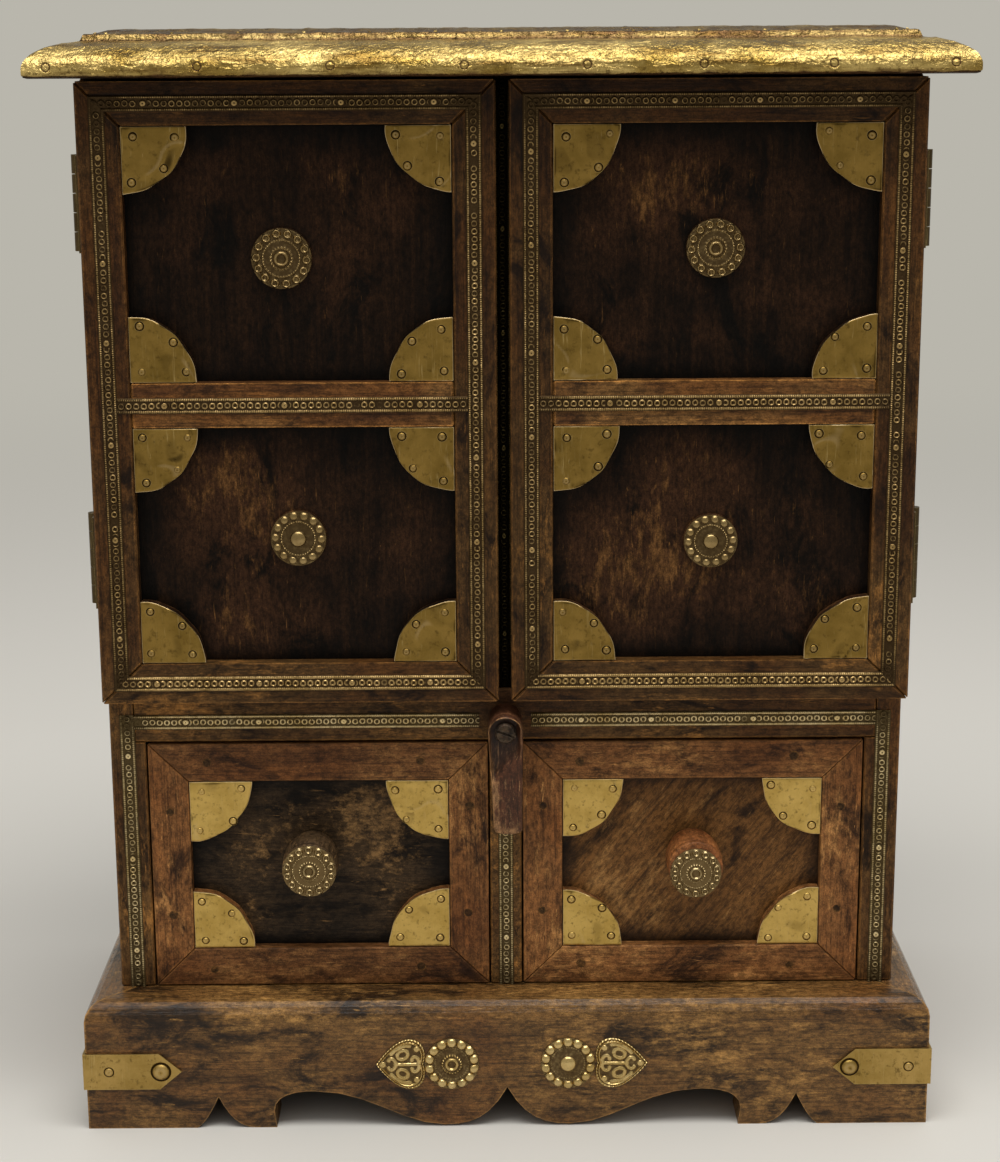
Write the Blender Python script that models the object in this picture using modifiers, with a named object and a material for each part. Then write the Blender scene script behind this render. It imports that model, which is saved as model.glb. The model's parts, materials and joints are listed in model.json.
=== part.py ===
"""A brass-mounted wooden table cabinet: a two-door cupboard over two drawers, on a scalloped plinth.

Units are metres and +Z is up. The front faces -Y. The origin is on the floor, under the middle of the top.
Sizes that run outwards are measured from x = 0, so that the left and right sides share them.
"""

import math

import bmesh
import bpy
from mathutils import Matrix, Vector, geometry

MM = 0.001
LEFT, RIGHT = -1, 1
SIDE_NAMES = {LEFT: "left", RIGHT: "right"}

# Carcass
CARCASS_WIDTH = 350 * MM
CARCASS_DEPTH = 196 * MM
SIDE_THICKNESS = 15.5 * MM
BACK_THICKNESS = 8 * MM
DIVIDER_THICKNESS = 14 * MM
MID_DECK_THICKNESS = 23.5 * MM
BOTTOM_DECK_THICKNESS = 14 * MM
DRAWER_BAY_HEIGHT = 116 * MM
CUPBOARD_HEIGHT = 264 * MM
HOUSING_DEPTH = 5 * MM
CUPBOARD_DIVIDER_SETBACK = 2 * MM

# Plinth
PLINTH_HEIGHT = 59.5 * MM
PLINTH_THICKNESS = 22.5 * MM
PLINTH_SIDE_OVERHANG = 14 * MM
PLINTH_FRONT_OVERHANG = 21.5 * MM
PLINTH_ROUND = 8 * MM
PLINTH_ROUND_STEPS = 4

# Scalloped lower edge of the plinth's front, from the middle outwards
APRON_PEAK_HEIGHT = 18.8 * MM
APRON_LOBE_REACH = 28 * MM
APRON_LOBE_LIFT = 0.8 * MM
APRON_ARCH_REACH = 87 * MM
APRON_ARCH_HEIGHT = 17.5 * MM
APRON_HOOK_REACH = 105 * MM
APRON_HOOK_HEIGHT = 8 * MM
APRON_HOOK_UNDERCUT = 1 * MM
APRON_TOE_REACH = 113 * MM
APRON_NOTCH_REACH = 130 * MM
APRON_NOTCH_HEIGHT = 15 * MM
APRON_FOOT_REACH = 140 * MM
APRON_CURVE_POINTS = 7

# Handles of the scalloped edge's curves, as shares of the reach or height that each is named for
PEAK_HANDLE_REACH, PEAK_HANDLE_HEIGHT = 0.28, 0.22
LOBE_HANDLE_REACH = 0.57
OGEE_START, OGEE_END = 0.33, 0.42
ARCH_HANDLE_REACH = 0.5
HOOK_HANDLE_HEIGHT = 0.88
TOE_HANDLE_REACH = 0.5
NOTCH_RISE_REACH, NOTCH_RISE_HEIGHT = 0.25, 0.4
NOTCH_FALL_REACH, NOTCH_FALL_HEIGHT = 0.33, 0.5
FOOT_HANDLE_HEIGHT = 0.12

# Moulded top with its brass cover
TOP_SIDE_OVERHANG = 18 * MM
TOP_FRONT_OVERHANG = 17.5 * MM
TOP_BACK_OVERHANG = 8 * MM
TOP_LIP_HEIGHT = 3.5 * MM
TOP_LIP_ROUND = 1.5 * MM
TOP_NOSE_REACH = 21 * MM
TOP_NOSE_HEIGHT = 11.3 * MM
TOP_NOSE_STEPS = 8
TOP_STEP_REACH = 4 * MM
TOP_STEP_HEIGHT = 3.2 * MM
TOP_STEP_SHOULDER_REACH = 1 * MM
TOP_STEP_SHOULDER_HEIGHT = 2.6 * MM
TOP_CROWN_REACH = 6 * MM
TOP_CROWN_HEIGHT = 1.8 * MM
BRASS_SHEET = 0.7 * MM

# Doors
DOOR_BOARD_THICKNESS = 8 * MM
DOOR_FRAME_THICKNESS = 6.7 * MM
DOOR_STILE_WIDTH = 18 * MM
DOOR_MID_RAIL_HEIGHT = 19 * MM
DOOR_LOWER_PANEL_HEIGHT = 103 * MM
DOOR_MEETING_GAP = 5.5 * MM
DOOR_BACK_GAP = 0.5 * MM
DOOR_TOP_CLEARANCE = 1.2 * MM
DOOR_DECK_OVERLAP = 1.5 * MM

# Brass bead strip nailed along the frames
BEAD_WIDTH = 6.7 * MM
BEAD_THICKNESS = 0.9 * MM
BEAD_INSET = 5.65 * MM
RAIL_BEAD_DROP = 11.05 * MM
RAIL_BEAD_START = 11.5 * MM

# Side-mounted butt hinges
HINGE_HEIGHT = 40 * MM
HINGE_KNUCKLES = 5
HINGE_LEAF_WIDTH = 12 * MM
HINGE_LEAF_THICKNESS = 0.9 * MM
HINGE_BARREL_RADIUS = 2.3 * MM
HINGE_PIN_RADIUS = 1.0 * MM
HINGE_ROUND_POINTS = 14
UPPER_HINGE_DROP = 50 * MM
LOWER_HINGE_RISE = 62 * MM

# Drawers
DRAWER_FRAME_THICKNESS = 6 * MM
DRAWER_FRAME_WIDTH = 17.5 * MM
DRAWER_FRONT_THICKNESS = 10 * MM
DRAWER_WALL_THICKNESS = 7 * MM
DRAWER_BOTTOM_THICKNESS = 5 * MM
DRAWER_WALL_DROP = 11 * MM
DRAWER_SIDE_CLEARANCE = 0.8 * MM
DRAWER_TOP_CLEARANCE = 1.1 * MM
DRAWER_FLOOR_CLEARANCE = 0.5 * MM
DRAWER_BACK_CLEARANCE = 12 * MM

# Turned knobs
KNOB_NECK_RADIUS = 10.4 * MM
KNOB_RADIUS = 12.4 * MM
KNOB_FACE_RADIUS = 12.1 * MM
KNOB_LENGTH = 23.5 * MM
KNOB_BELLY_HEIGHT = 12 * MM
KNOB_RISE = 3.7 * MM
KNOB_OUTWARD = {LEFT: 3.7 * MM, RIGHT: 0.5 * MM}
KNOB_TENON_RADIUS = 4 * MM
KNOB_TENON_LENGTH = 8 * MM
ROUND_STEPS = 24

# Turn button on the rail, hanging free below its screw
BUTTON_PIVOT_RISE = 9.5 * MM
BUTTON_ARM_LENGTH = 46.5 * MM
BUTTON_TAIL_LENGTH = 8.5 * MM
BUTTON_TIP_WIDTH = 12.8 * MM
BUTTON_BASE_WIDTH = 15.6 * MM
BUTTON_ARM_THICKNESS = 6.5 * MM
BUTTON_BEAD_CLEARANCE = 1.0 * MM
BUTTON_SCOOP_DEPTH = 3.5 * MM
BUTTON_SCOOP_START = 8 * MM
BUTTON_SCOOP_END = 17 * MM
BUTTON_POST_RADIUS = 7.5 * MM
BUTTON_POST_OVERLAP = 1.6 * MM
BUTTON_CORNER = 1.2 * MM
BUTTON_HANGING_ANGLE = math.radians(180)
SCREW_SHANK_RADIUS = 1.8 * MM
SCREW_HEAD_RADIUS = 4.7 * MM
SCREW_HEAD_FLAT_RADIUS = 3.8 * MM
SCREW_HEAD_HEIGHT = 2 * MM
SCREW_GRIP = 14 * MM
SCREW_SLOT_WIDTH = 1.2 * MM
SCREW_SLOT_DEPTH = 1 * MM
SCREW_SLOT_TILT = math.radians(20)

# Brass corner straps on the plinth
STRAP_WIDTH = 17 * MM
STRAP_LENGTH = 43 * MM
STRAP_POINT = 10 * MM
STRAP_THICKNESS = 0.9 * MM
STRAP_BASE = 19.5 * MM

# Fits and small edges
FIT = 0.3 * MM
RUNNING_GAP = 0.35 * MM
EDGE_EASE = 0.6 * MM
CUT_MARGIN = 2 * MM
WELD_DISTANCE = 0.001 * MM
FLAT_ANGLE = math.radians(0.1)
SMOOTH_ANGLE = math.radians(35)
ROUND_PROFILE = 0.5

# Levels and planes that follow from the sizes above
DOOR_THICKNESS = DOOR_BOARD_THICKNESS + FIT + DOOR_FRAME_THICKNESS
TOP_DEPTH = TOP_FRONT_OVERHANG + DOOR_THICKNESS + DOOR_BACK_GAP + CARCASS_DEPTH + TOP_BACK_OVERHANG
CARCASS_FRONT = -TOP_DEPTH / 2 + TOP_FRONT_OVERHANG + DOOR_THICKNESS + DOOR_BACK_GAP
CARCASS_BACK = CARCASS_FRONT + CARCASS_DEPTH
INNER_BACK = CARCASS_BACK - BACK_THICKNESS
HALF_WIDTH = CARCASS_WIDTH / 2
HALF_INSIDE = HALF_WIDTH - SIDE_THICKNESS
HALF_DIVIDER = DIVIDER_THICKNESS / 2
MID_DECK_BASE = PLINTH_HEIGHT + DRAWER_BAY_HEIGHT
MID_DECK_TOP = MID_DECK_BASE + MID_DECK_THICKNESS
TOP_BASE = MID_DECK_TOP + CUPBOARD_HEIGHT
DOOR_BACK = CARCASS_FRONT - DOOR_BACK_GAP
DOOR_BOARD_FRONT = DOOR_BACK - DOOR_BOARD_THICKNESS
DOOR_FRONT = DOOR_BACK - DOOR_THICKNESS
DOOR_BASE = MID_DECK_TOP - DOOR_DECK_OVERLAP
DOOR_TOP = TOP_BASE - DOOR_TOP_CLEARANCE
PLINTH_FRONT = CARCASS_FRONT - PLINTH_FRONT_OVERHANG
HALF_PLINTH = HALF_WIDTH + PLINTH_SIDE_OVERHANG
HINGE_AXIS_X = HALF_WIDTH + FIT + HINGE_BARREL_RADIUS
HINGE_AXIS_Y = (DOOR_BACK + CARCASS_FRONT) / 2
DRAWER_MIDDLE = (HALF_DIVIDER + HALF_INSIDE) / 2
DRAWER_BASE = PLINTH_HEIGHT + DRAWER_FLOOR_CLEARANCE
DRAWER_TOP = MID_DECK_BASE - DRAWER_TOP_CLEARANCE
DRAWER_FRAME_BACK = CARCASS_FRONT + DRAWER_FRAME_THICKNESS
DRAWER_FRONT_BACK = DRAWER_FRAME_BACK + FIT + DRAWER_FRONT_THICKNESS
BUTTON_PIVOT_Z = MID_DECK_BASE + BUTTON_PIVOT_RISE
DOOR_BEAD_FRONT = DOOR_FRONT - FIT - BEAD_THICKNESS
BUTTON_ARM_BACK = DOOR_BEAD_FRONT - BUTTON_BEAD_CLEARANCE
BUTTON_ARM_FRONT = BUTTON_ARM_BACK - BUTTON_ARM_THICKNESS
BUTTON_SCOOP_FACE = BUTTON_ARM_FRONT + BUTTON_SCOOP_DEPTH

# Colour, roughness and metallic value of each finish
FINISHES = {
    "dark_wood": ((0.050, 0.026, 0.016), 0.45, 0.0),
    "frame_wood": ((0.115, 0.060, 0.034), 0.50, 0.0),
    "drawer_wood": ((0.230, 0.110, 0.055), 0.50, 0.0),
    "plinth_wood": ((0.190, 0.100, 0.050), 0.50, 0.0),
    "button_wood": ((0.140, 0.055, 0.040), 0.40, 0.0),
    "bright_brass": ((0.620, 0.420, 0.110), 0.28, 1.0),
    "aged_brass": ((0.330, 0.250, 0.100), 0.42, 1.0),
    "dark_iron": ((0.060, 0.050, 0.040), 0.55, 1.0),
}


def clear_scene():
    for obj in list(bpy.data.objects):
        bpy.data.objects.remove(obj)


def new_collection(name):
    collection = bpy.data.collections.new(name)
    bpy.context.scene.collection.children.link(collection)
    return collection


def new_finish(name):
    colour, roughness, metallic = FINISHES[name]
    finish = bpy.data.materials.new(name)
    finish.use_nodes = True
    shader = finish.node_tree.nodes["Principled BSDF"]
    shader.inputs["Base Color"].default_value = (*colour, 1.0)
    shader.inputs["Roughness"].default_value = roughness
    shader.inputs["Metallic"].default_value = metallic
    return finish


clear_scene()
PARTS = new_collection("brass_mounted_cabinet")
CUTTERS = new_collection("cutters")
MATERIALS = {name: new_finish(name) for name in FINISHES}


def new_frame(name, place):
    """An empty that carries pieces: the carcass, or a moving piece on its joint's axis."""
    frame = bpy.data.objects.new(name, None)
    frame.location = place
    PARTS.objects.link(frame)
    return frame


def add_part(name, mesh, place, finish, frame):
    """A named piece at a place in the world, carried by a frame."""
    part = bpy.data.objects.new(name, mesh)
    part.data.materials.append(MATERIALS[finish])
    part.parent = frame
    part.location = Vector(place) - frame.location
    PARTS.objects.link(part)
    return part


def add_cutter(name, mesh, place, frame=None):
    cutter = bpy.data.objects.new(name, mesh)
    cutter.parent = frame
    cutter.location = Vector(place) - frame.location if frame else place
    cutter.hide_render = True
    cutter.display_type = "WIRE"
    CUTTERS.objects.link(cutter)
    return cutter


def combine(part, other, operation="DIFFERENCE"):
    step = part.modifiers.new(other.name, "BOOLEAN")
    step.object = other
    step.operation = operation
    step.solver = "EXACT"


def ease_edges(part, width=EDGE_EASE):
    bevel = part.modifiers.new("eased_edges", "BEVEL")
    bevel.width = width
    bevel.segments = 1
    bevel.limit_method = "ANGLE"


def shade_round(mesh):
    mesh.shade_smooth()
    mesh.set_sharp_from_angle(angle=SMOOTH_ANGLE)


def mesh_from(bm, name):
    bmesh.ops.recalc_face_normals(bm, faces=bm.faces)
    mesh = bpy.data.meshes.new(name)
    bm.to_mesh(mesh)
    bm.free()
    return mesh


def box_mesh(name, size):
    bm = bmesh.new()
    bmesh.ops.create_cube(bm, size=1, matrix=Matrix.Diagonal((*size, 1)))
    return mesh_from(bm, name)


def block(name, low, high, finish, frame):
    """A board between two opposite corners, with its sharp edges eased."""
    low, high = Vector(low), Vector(high)
    part = add_part(name, box_mesh(name, high - low), (low + high) / 2, finish, frame)
    ease_edges(part)
    return part


def block_cutter(name, low, high):
    low, high = Vector(low), Vector(high)
    return add_cutter(name, box_mesh(name, high - low), (low + high) / 2)


def outline_mesh(name, outlines, thickness):
    """Flat closed outlines in x and y, extruded in z about zero. Inner outlines are holes."""
    curve = bpy.data.curves.new(name, "CURVE")
    curve.dimensions = "2D"
    curve.fill_mode = "BOTH"
    curve.extrude = thickness / 2
    for points in outlines:
        spline = curve.splines.new("POLY")
        spline.points.add(len(points) - 1)
        for spline_point, (x, y) in zip(spline.points, points):
            spline_point.co = (x, y, 0, 1)
        spline.use_cyclic_u = True
    guide = bpy.data.objects.new(name + "_outline", curve)
    CUTTERS.objects.link(guide)
    mesh = bpy.data.meshes.new_from_object(guide.evaluated_get(bpy.context.evaluated_depsgraph_get()))
    bpy.data.objects.remove(guide)
    bm = bmesh.new()
    bm.from_mesh(mesh)
    bpy.data.meshes.remove(mesh)
    bmesh.ops.remove_doubles(bm, verts=bm.verts, dist=WELD_DISTANCE)
    return mesh_from(bm, name)


def upright_mesh(name, outlines, thickness):
    """The same, with the outlines standing in x and z and the thickness in y."""
    mesh = outline_mesh(name, outlines, thickness)
    mesh.transform(Matrix.Rotation(math.radians(90), 4, "X"))
    return mesh


def sawn_piece(name, points, front, back, finish, frame):
    """A piece sawn to an outline in x and z from a board that reaches from front to back."""
    mesh = upright_mesh(name, [points], back - front)
    return add_part(name, mesh, (0, (front + back) / 2, 0), finish, frame)


def circle_points(radius, count, centre=(0, 0)):
    turns = [2 * math.pi * i / count for i in range(count)]
    return [(centre[0] + radius * math.cos(a), centre[1] + radius * math.sin(a)) for a in turns]


def turned_mesh(name, profile, steps=ROUND_STEPS):
    """A profile of (radius, height) points, from the top down its outer side, turned about z."""
    mesh = bpy.data.meshes.new(name + "_profile")
    mesh.from_pydata([(r, 0, h) for r, h in profile], [(i, i + 1) for i in range(len(profile) - 1)], [])
    guide = bpy.data.objects.new(name + "_turned", mesh)
    CUTTERS.objects.link(guide)
    screw = guide.modifiers.new("turning", "SCREW")
    screw.steps = screw.render_steps = steps
    screw.use_merge_vertices = True
    screw.merge_threshold = WELD_DISTANCE
    bpy.context.view_layer.update()
    turned = bpy.data.meshes.new_from_object(guide.evaluated_get(bpy.context.evaluated_depsgraph_get()))
    bpy.data.objects.remove(guide)
    bm = bmesh.new()
    bm.from_mesh(turned)
    bpy.data.meshes.remove(turned)
    bmesh.ops.remove_doubles(bm, verts=bm.verts, dist=WELD_DISTANCE)
    turned = mesh_from(bm, name)
    shade_round(turned)
    return turned


def facing_front(mesh):
    """Turns a mesh that was made about +z so that its top faces the front."""
    mesh.transform(Matrix.Rotation(math.radians(90), 4, "X"))
    return mesh


def rod_cutter(name, radius, start, length, frame=None):
    """A round cutter that runs from a place towards the front."""
    profile = [(0, length), (radius, length), (radius, 0), (0, 0)]
    return add_cutter(name, facing_front(turned_mesh(name, profile)), start, frame)


def bezier(points, count=APRON_CURVE_POINTS):
    """Points along one cubic stretch given by its ends and its two handles."""
    start, start_handle, end_handle, end = (Vector((*p, 0)) for p in points)
    return [(p.x, p.y) for p in geometry.interpolate_bezier(start, start_handle, end_handle, end, count)]


# Moulded top


def top_profile(shrink):
    """(inset, height) pairs of the moulded edge from the bottom up, with its face moved in by shrink."""
    nose = [math.pi / 2 * i / TOP_NOSE_STEPS for i in range(TOP_NOSE_STEPS + 1)]
    nose_top = TOP_LIP_HEIGHT + TOP_NOSE_HEIGHT
    step_top = nose_top + TOP_STEP_HEIGHT
    step_reach = TOP_NOSE_REACH + TOP_STEP_REACH
    profile = [(TOP_LIP_ROUND, 0), (0, TOP_LIP_ROUND)]
    for turn in nose:
        inset = TOP_NOSE_REACH * (1 - math.cos(turn))
        profile.append((inset, TOP_LIP_HEIGHT + TOP_NOSE_HEIGHT * math.sin(turn)))
    profile += [
        (TOP_NOSE_REACH + TOP_STEP_SHOULDER_REACH, nose_top + TOP_STEP_SHOULDER_HEIGHT),
        (step_reach, step_top),
        (step_reach + TOP_CROWN_REACH, step_top + TOP_CROWN_HEIGHT),
    ]
    return [(inset + shrink, max(height - shrink, 0)) for inset, height in profile]


def moulded_mesh(name, profile):
    """A slab of the top's plan, built up tier by tier to a moulded edge."""
    half = Vector((HALF_WIDTH + TOP_SIDE_OVERHANG, TOP_DEPTH / 2))

    def corner(vert, inset, height):
        x = math.copysign(half.x - inset, vert.co.x)
        y = math.copysign(half.y - inset, vert.co.y)
        return Vector((x, y, height))

    bm = bmesh.new()
    bmesh.ops.create_cube(bm, size=1)
    for vert in bm.verts:
        vert.co = corner(vert, *profile[1 if vert.co.z > 0 else 0])
    for inset, height in profile[2:]:
        top = max(bm.faces, key=lambda face: face.calc_center_median().z)
        raised = bmesh.ops.extrude_face_region(bm, geom=[top])["geom"]
        bmesh.ops.delete(bm, geom=[top], context="FACES_ONLY")
        for vert in (item for item in raised if isinstance(item, bmesh.types.BMVert)):
            vert.co = corner(vert, inset, height)
    return mesh_from(bm, name)


def build_top(frame):
    place = (0, 0, TOP_BASE)
    cover = moulded_mesh("top_brass_cover", top_profile(0))
    cover = add_part("top_brass_cover", cover, place, "bright_brass", frame)
    hollow = top_profile(BRASS_SHEET)
    hollow = [(hollow[0][0], -CUT_MARGIN)] + hollow[1:]
    combine(cover, add_cutter("top_cover_hollow", moulded_mesh("top_cover_hollow", hollow), place))
    board = moulded_mesh("top_board", top_profile(BRASS_SHEET + FIT))
    add_part("top_board", board, place, "dark_wood", frame)


# Plinth


def apron_half():
    """The scalloped lower edge from the middle peak out to the outer foot, as (x, z) points."""
    peak, lobe = (0, APRON_PEAK_HEIGHT), (APRON_LOBE_REACH, APRON_LOBE_LIFT)
    arch, hook = (APRON_ARCH_REACH, APRON_ARCH_HEIGHT), (APRON_HOOK_REACH, APRON_HOOK_HEIGHT)
    toe, foot = (APRON_TOE_REACH, 0), (APRON_FOOT_REACH, 0)
    notch = (APRON_NOTCH_REACH, APRON_NOTCH_HEIGHT)
    ogee = arch[0] - lobe[0]
    shoulder = hook[0] - arch[0]
    rise = notch[0] - toe[0]
    fall = foot[0] - notch[0]
    inner_stretches = [
        (
            peak,
            (lobe[0] * PEAK_HANDLE_REACH, peak[1] * PEAK_HANDLE_HEIGHT),
            (lobe[0] * LOBE_HANDLE_REACH, lobe[1]),
            lobe,
        ),
        (lobe, (lobe[0] + ogee * OGEE_START, lobe[1]), (arch[0] - ogee * OGEE_END, arch[1]), arch),
        (
            arch,
            (arch[0] + shoulder * ARCH_HANDLE_REACH, arch[1]),
            (hook[0], arch[1] * HOOK_HANDLE_HEIGHT),
            hook,
        ),
    ]
    outer_stretches = [
        (
            toe,
            (toe[0] + rise * TOE_HANDLE_REACH, 0),
            (notch[0] - rise * NOTCH_RISE_REACH, notch[1] * NOTCH_RISE_HEIGHT),
            notch,
        ),
        (
            notch,
            (notch[0] + fall * NOTCH_FALL_REACH, notch[1] * NOTCH_FALL_HEIGHT),
            (foot[0] - fall * NOTCH_FALL_REACH, notch[1] * FOOT_HANDLE_HEIGHT),
            foot,
        ),
    ]
    points = [peak]
    for stretch in inner_stretches:
        points += bezier(stretch)[1:]
    points += [(hook[0] - APRON_HOOK_UNDERCUT, 0), toe]
    for stretch in outer_stretches:
        points += bezier(stretch)[1:]
    return points


def round_top_edge(mesh, is_outer):
    """Rounds the plinth's upper outer edge, which is_outer picks by its end points."""
    bm = bmesh.new()
    bm.from_mesh(mesh)
    bmesh.ops.dissolve_limit(bm, angle_limit=FLAT_ANGLE, verts=bm.verts, edges=bm.edges)
    top = max(vert.co.z for vert in bm.verts)
    upper = {vert for vert in bm.verts if vert.co.z > top - WELD_DISTANCE and is_outer(vert.co)}
    edges = [edge for edge in bm.edges if upper.issuperset(edge.verts)]
    bmesh.ops.bevel(
        bm,
        geom=edges,
        offset=PLINTH_ROUND,
        segments=PLINTH_ROUND_STEPS,
        profile=ROUND_PROFILE,
        affect="EDGES",
    )
    bmesh.ops.recalc_face_normals(bm, faces=bm.faces)
    bm.to_mesh(mesh)
    bm.free()


def build_plinth(frame):
    half = HALF_PLINTH
    lower = apron_half() + [(half, 0)]
    outline = lower + [(half, PLINTH_HEIGHT)]
    outline += [(-x, z) for x, z in reversed(outline) if x > 0]
    mesh = upright_mesh("plinth_front", [outline], PLINTH_THICKNESS)
    mitre_ends(mesh, half)
    round_top_edge(mesh, lambda co: co.y < 0)
    middle = PLINTH_FRONT + PLINTH_THICKNESS / 2
    add_part("plinth_front", mesh, (0, middle, 0), "plinth_wood", frame)

    length = CARCASS_BACK - PLINTH_FRONT
    for side in (LEFT, RIGHT):
        name = "plinth_" + SIDE_NAMES[side]
        mesh = box_mesh(name, (PLINTH_THICKNESS, length, PLINTH_HEIGHT))
        front = -length / 2
        for vert in mesh.vertices:
            if vert.co.y < 0:
                inner = vert.co.x * side < 0
                vert.co.y = front + mitre_gap() + (PLINTH_THICKNESS if inner else 0)
        round_top_edge(mesh, lambda co: co.x * side > 0)
        place = (side * (half - PLINTH_THICKNESS / 2), PLINTH_FRONT + length / 2, PLINTH_HEIGHT / 2)
        add_part(name, mesh, place, "plinth_wood", frame)

    inside = half - PLINTH_THICKNESS - FIT
    back_front = CARCASS_BACK - PLINTH_THICKNESS
    block(
        "plinth_back",
        (-inside, back_front, 0),
        (inside, CARCASS_BACK, PLINTH_HEIGHT),
        "plinth_wood",
        frame,
    )
    deck_front = PLINTH_FRONT + PLINTH_THICKNESS + FIT
    block(
        "bottom_deck",
        (-inside, deck_front, PLINTH_HEIGHT - BOTTOM_DECK_THICKNESS),
        (inside, back_front - FIT, PLINTH_HEIGHT),
        "dark_wood",
        frame,
    )


def mitre_gap():
    """How far one of two mitred pieces is moved along its length to leave the fit between them."""
    return FIT * math.sqrt(2)


def mitre_ends(mesh, half):
    """Cuts both ends of a front board back to 45 degrees behind its face."""
    for vert in mesh.vertices:
        if abs(vert.co.x) > half - WELD_DISTANCE and vert.co.y > 0:
            vert.co.x = math.copysign(half - PLINTH_THICKNESS, vert.co.x)


def build_straps(frame):
    """Pointed brass straps that wrap the plinth's front corners and lie on both faces."""
    top = STRAP_BASE + STRAP_WIDTH
    shoulder = STRAP_LENGTH - STRAP_POINT
    out = FIT + STRAP_THICKNESS
    leg = [
        (-out, STRAP_BASE),
        (shoulder, STRAP_BASE),
        (STRAP_LENGTH, (STRAP_BASE + top) / 2),
        (shoulder, top),
        (-out, top),
    ]
    for side in (LEFT, RIGHT):
        name = "plinth_strap_" + SIDE_NAMES[side]
        corner = Vector((side * HALF_PLINTH, PLINTH_FRONT, 0))
        face = upright_mesh(name, [[(-side * x, z) for x, z in leg]], STRAP_THICKNESS)
        place = corner - Vector((0, FIT + STRAP_THICKNESS / 2, 0))
        strap = add_part(name, face, place, "aged_brass", frame)
        flank = upright_mesh(name + "_flank", [leg], STRAP_THICKNESS)
        flank.transform(Matrix.Rotation(math.radians(90), 4, "Z"))
        place = corner + Vector((side * (FIT + STRAP_THICKNESS / 2), 0, 0))
        combine(strap, add_cutter(name + "_flank", flank, place), "UNION")


# Carcass


def build_carcass(frame):
    housing_low = MID_DECK_BASE - FIT
    housing_high = MID_DECK_TOP + FIT
    for side in (LEFT, RIGHT):
        x_low, x_high = sorted((side * HALF_INSIDE, side * HALF_WIDTH))
        panel = block(
            "side_panel_" + SIDE_NAMES[side],
            (x_low, CARCASS_FRONT, PLINTH_HEIGHT + FIT),
            (x_high, INNER_BACK - FIT, TOP_BASE - FIT),
            "frame_wood",
            frame,
        )
        x_low, x_high = sorted((side * (HALF_INSIDE - CUT_MARGIN), side * (HALF_INSIDE + HOUSING_DEPTH)))
        housing = block_cutter(
            "housing_" + SIDE_NAMES[side],
            (x_low, CARCASS_FRONT - CUT_MARGIN, housing_low),
            (x_high, INNER_BACK + CUT_MARGIN, housing_high),
        )
        combine(panel, housing)

    block(
        "back_panel",
        (-HALF_WIDTH, INNER_BACK, PLINTH_HEIGHT + FIT),
        (HALF_WIDTH, CARCASS_BACK, TOP_BASE - FIT),
        "dark_wood",
        frame,
    )
    reach = HALF_INSIDE + HOUSING_DEPTH - FIT
    deck = block(
        "mid_deck",
        (-reach, CARCASS_FRONT, MID_DECK_BASE),
        (reach, INNER_BACK - FIT, MID_DECK_TOP),
        "frame_wood",
        frame,
    )
    hole_start = (0, CARCASS_FRONT + SCREW_GRIP + FIT, BUTTON_PIVOT_Z)
    hole_length = SCREW_GRIP + FIT + CUT_MARGIN
    combine(deck, rod_cutter("screw_hole", SCREW_SHANK_RADIUS + FIT, hole_start, hole_length))
    block(
        "drawer_divider",
        (-HALF_DIVIDER, CARCASS_FRONT, PLINTH_HEIGHT + FIT),
        (HALF_DIVIDER, INNER_BACK - FIT, MID_DECK_BASE - FIT),
        "frame_wood",
        frame,
    )
    block(
        "cupboard_divider",
        (-HALF_DIVIDER, CARCASS_FRONT + CUPBOARD_DIVIDER_SETBACK, MID_DECK_TOP + FIT),
        (HALF_DIVIDER, INNER_BACK - FIT, TOP_BASE - FIT),
        "dark_wood",
        frame,
    )


def build_carcass_beads(frame):
    """Bead strips on the carcass's front edges: an angle at each side, and one strip down the middle."""
    front = CARCASS_FRONT - FIT - BEAD_THICKNESS
    back = CARCASS_FRONT - FIT
    high = MID_DECK_TOP - RAIL_BEAD_DROP
    low = PLINTH_HEIGHT + FIT
    outer = HALF_WIDTH - (SIDE_THICKNESS - BEAD_WIDTH) / 2
    inner = outer - BEAD_WIDTH
    angle = [
        (outer, low),
        (outer, high),
        (RAIL_BEAD_START, high),
        (RAIL_BEAD_START, high - BEAD_WIDTH),
        (inner, high - BEAD_WIDTH),
        (inner, low),
    ]
    for side in (LEFT, RIGHT):
        points = [(side * x, z) for x, z in angle]
        sawn_piece("carcass_bead_" + SIDE_NAMES[side], points, front, back, "aged_brass", frame)
    half = BEAD_WIDTH / 2
    top = MID_DECK_BASE - FIT
    strip = [(-half, low), (half, low), (half, top), (-half, top)]
    sawn_piece("carcass_bead_centre", strip, front, back, "aged_brass", frame)


# Hinges


def hinge_outlines(side, leads):
    """Plan of a leaf about its axis: a plate rolled into a barrel at one end, and the pin's bore."""
    radius = HINGE_BARREL_RADIUS
    plate_outer = radius - HINGE_LEAF_THICKNESS
    sweep = 2 * math.pi - math.acos(plate_outer / radius)
    turns = [-sweep * i / HINGE_ROUND_POINTS for i in range(HINGE_ROUND_POINTS + 1)]
    barrel = [(radius * math.cos(a), radius * math.sin(a)) for a in turns]
    plate = [(plate_outer, HINGE_LEAF_WIDTH), (radius, HINGE_LEAF_WIDTH)]
    bore = circle_points(HINGE_PIN_RADIUS + RUNNING_GAP, HINGE_ROUND_POINTS)
    return [[(-side * x, leads * y) for x, y in points] for points in (plate + barrel, bore)]


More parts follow.
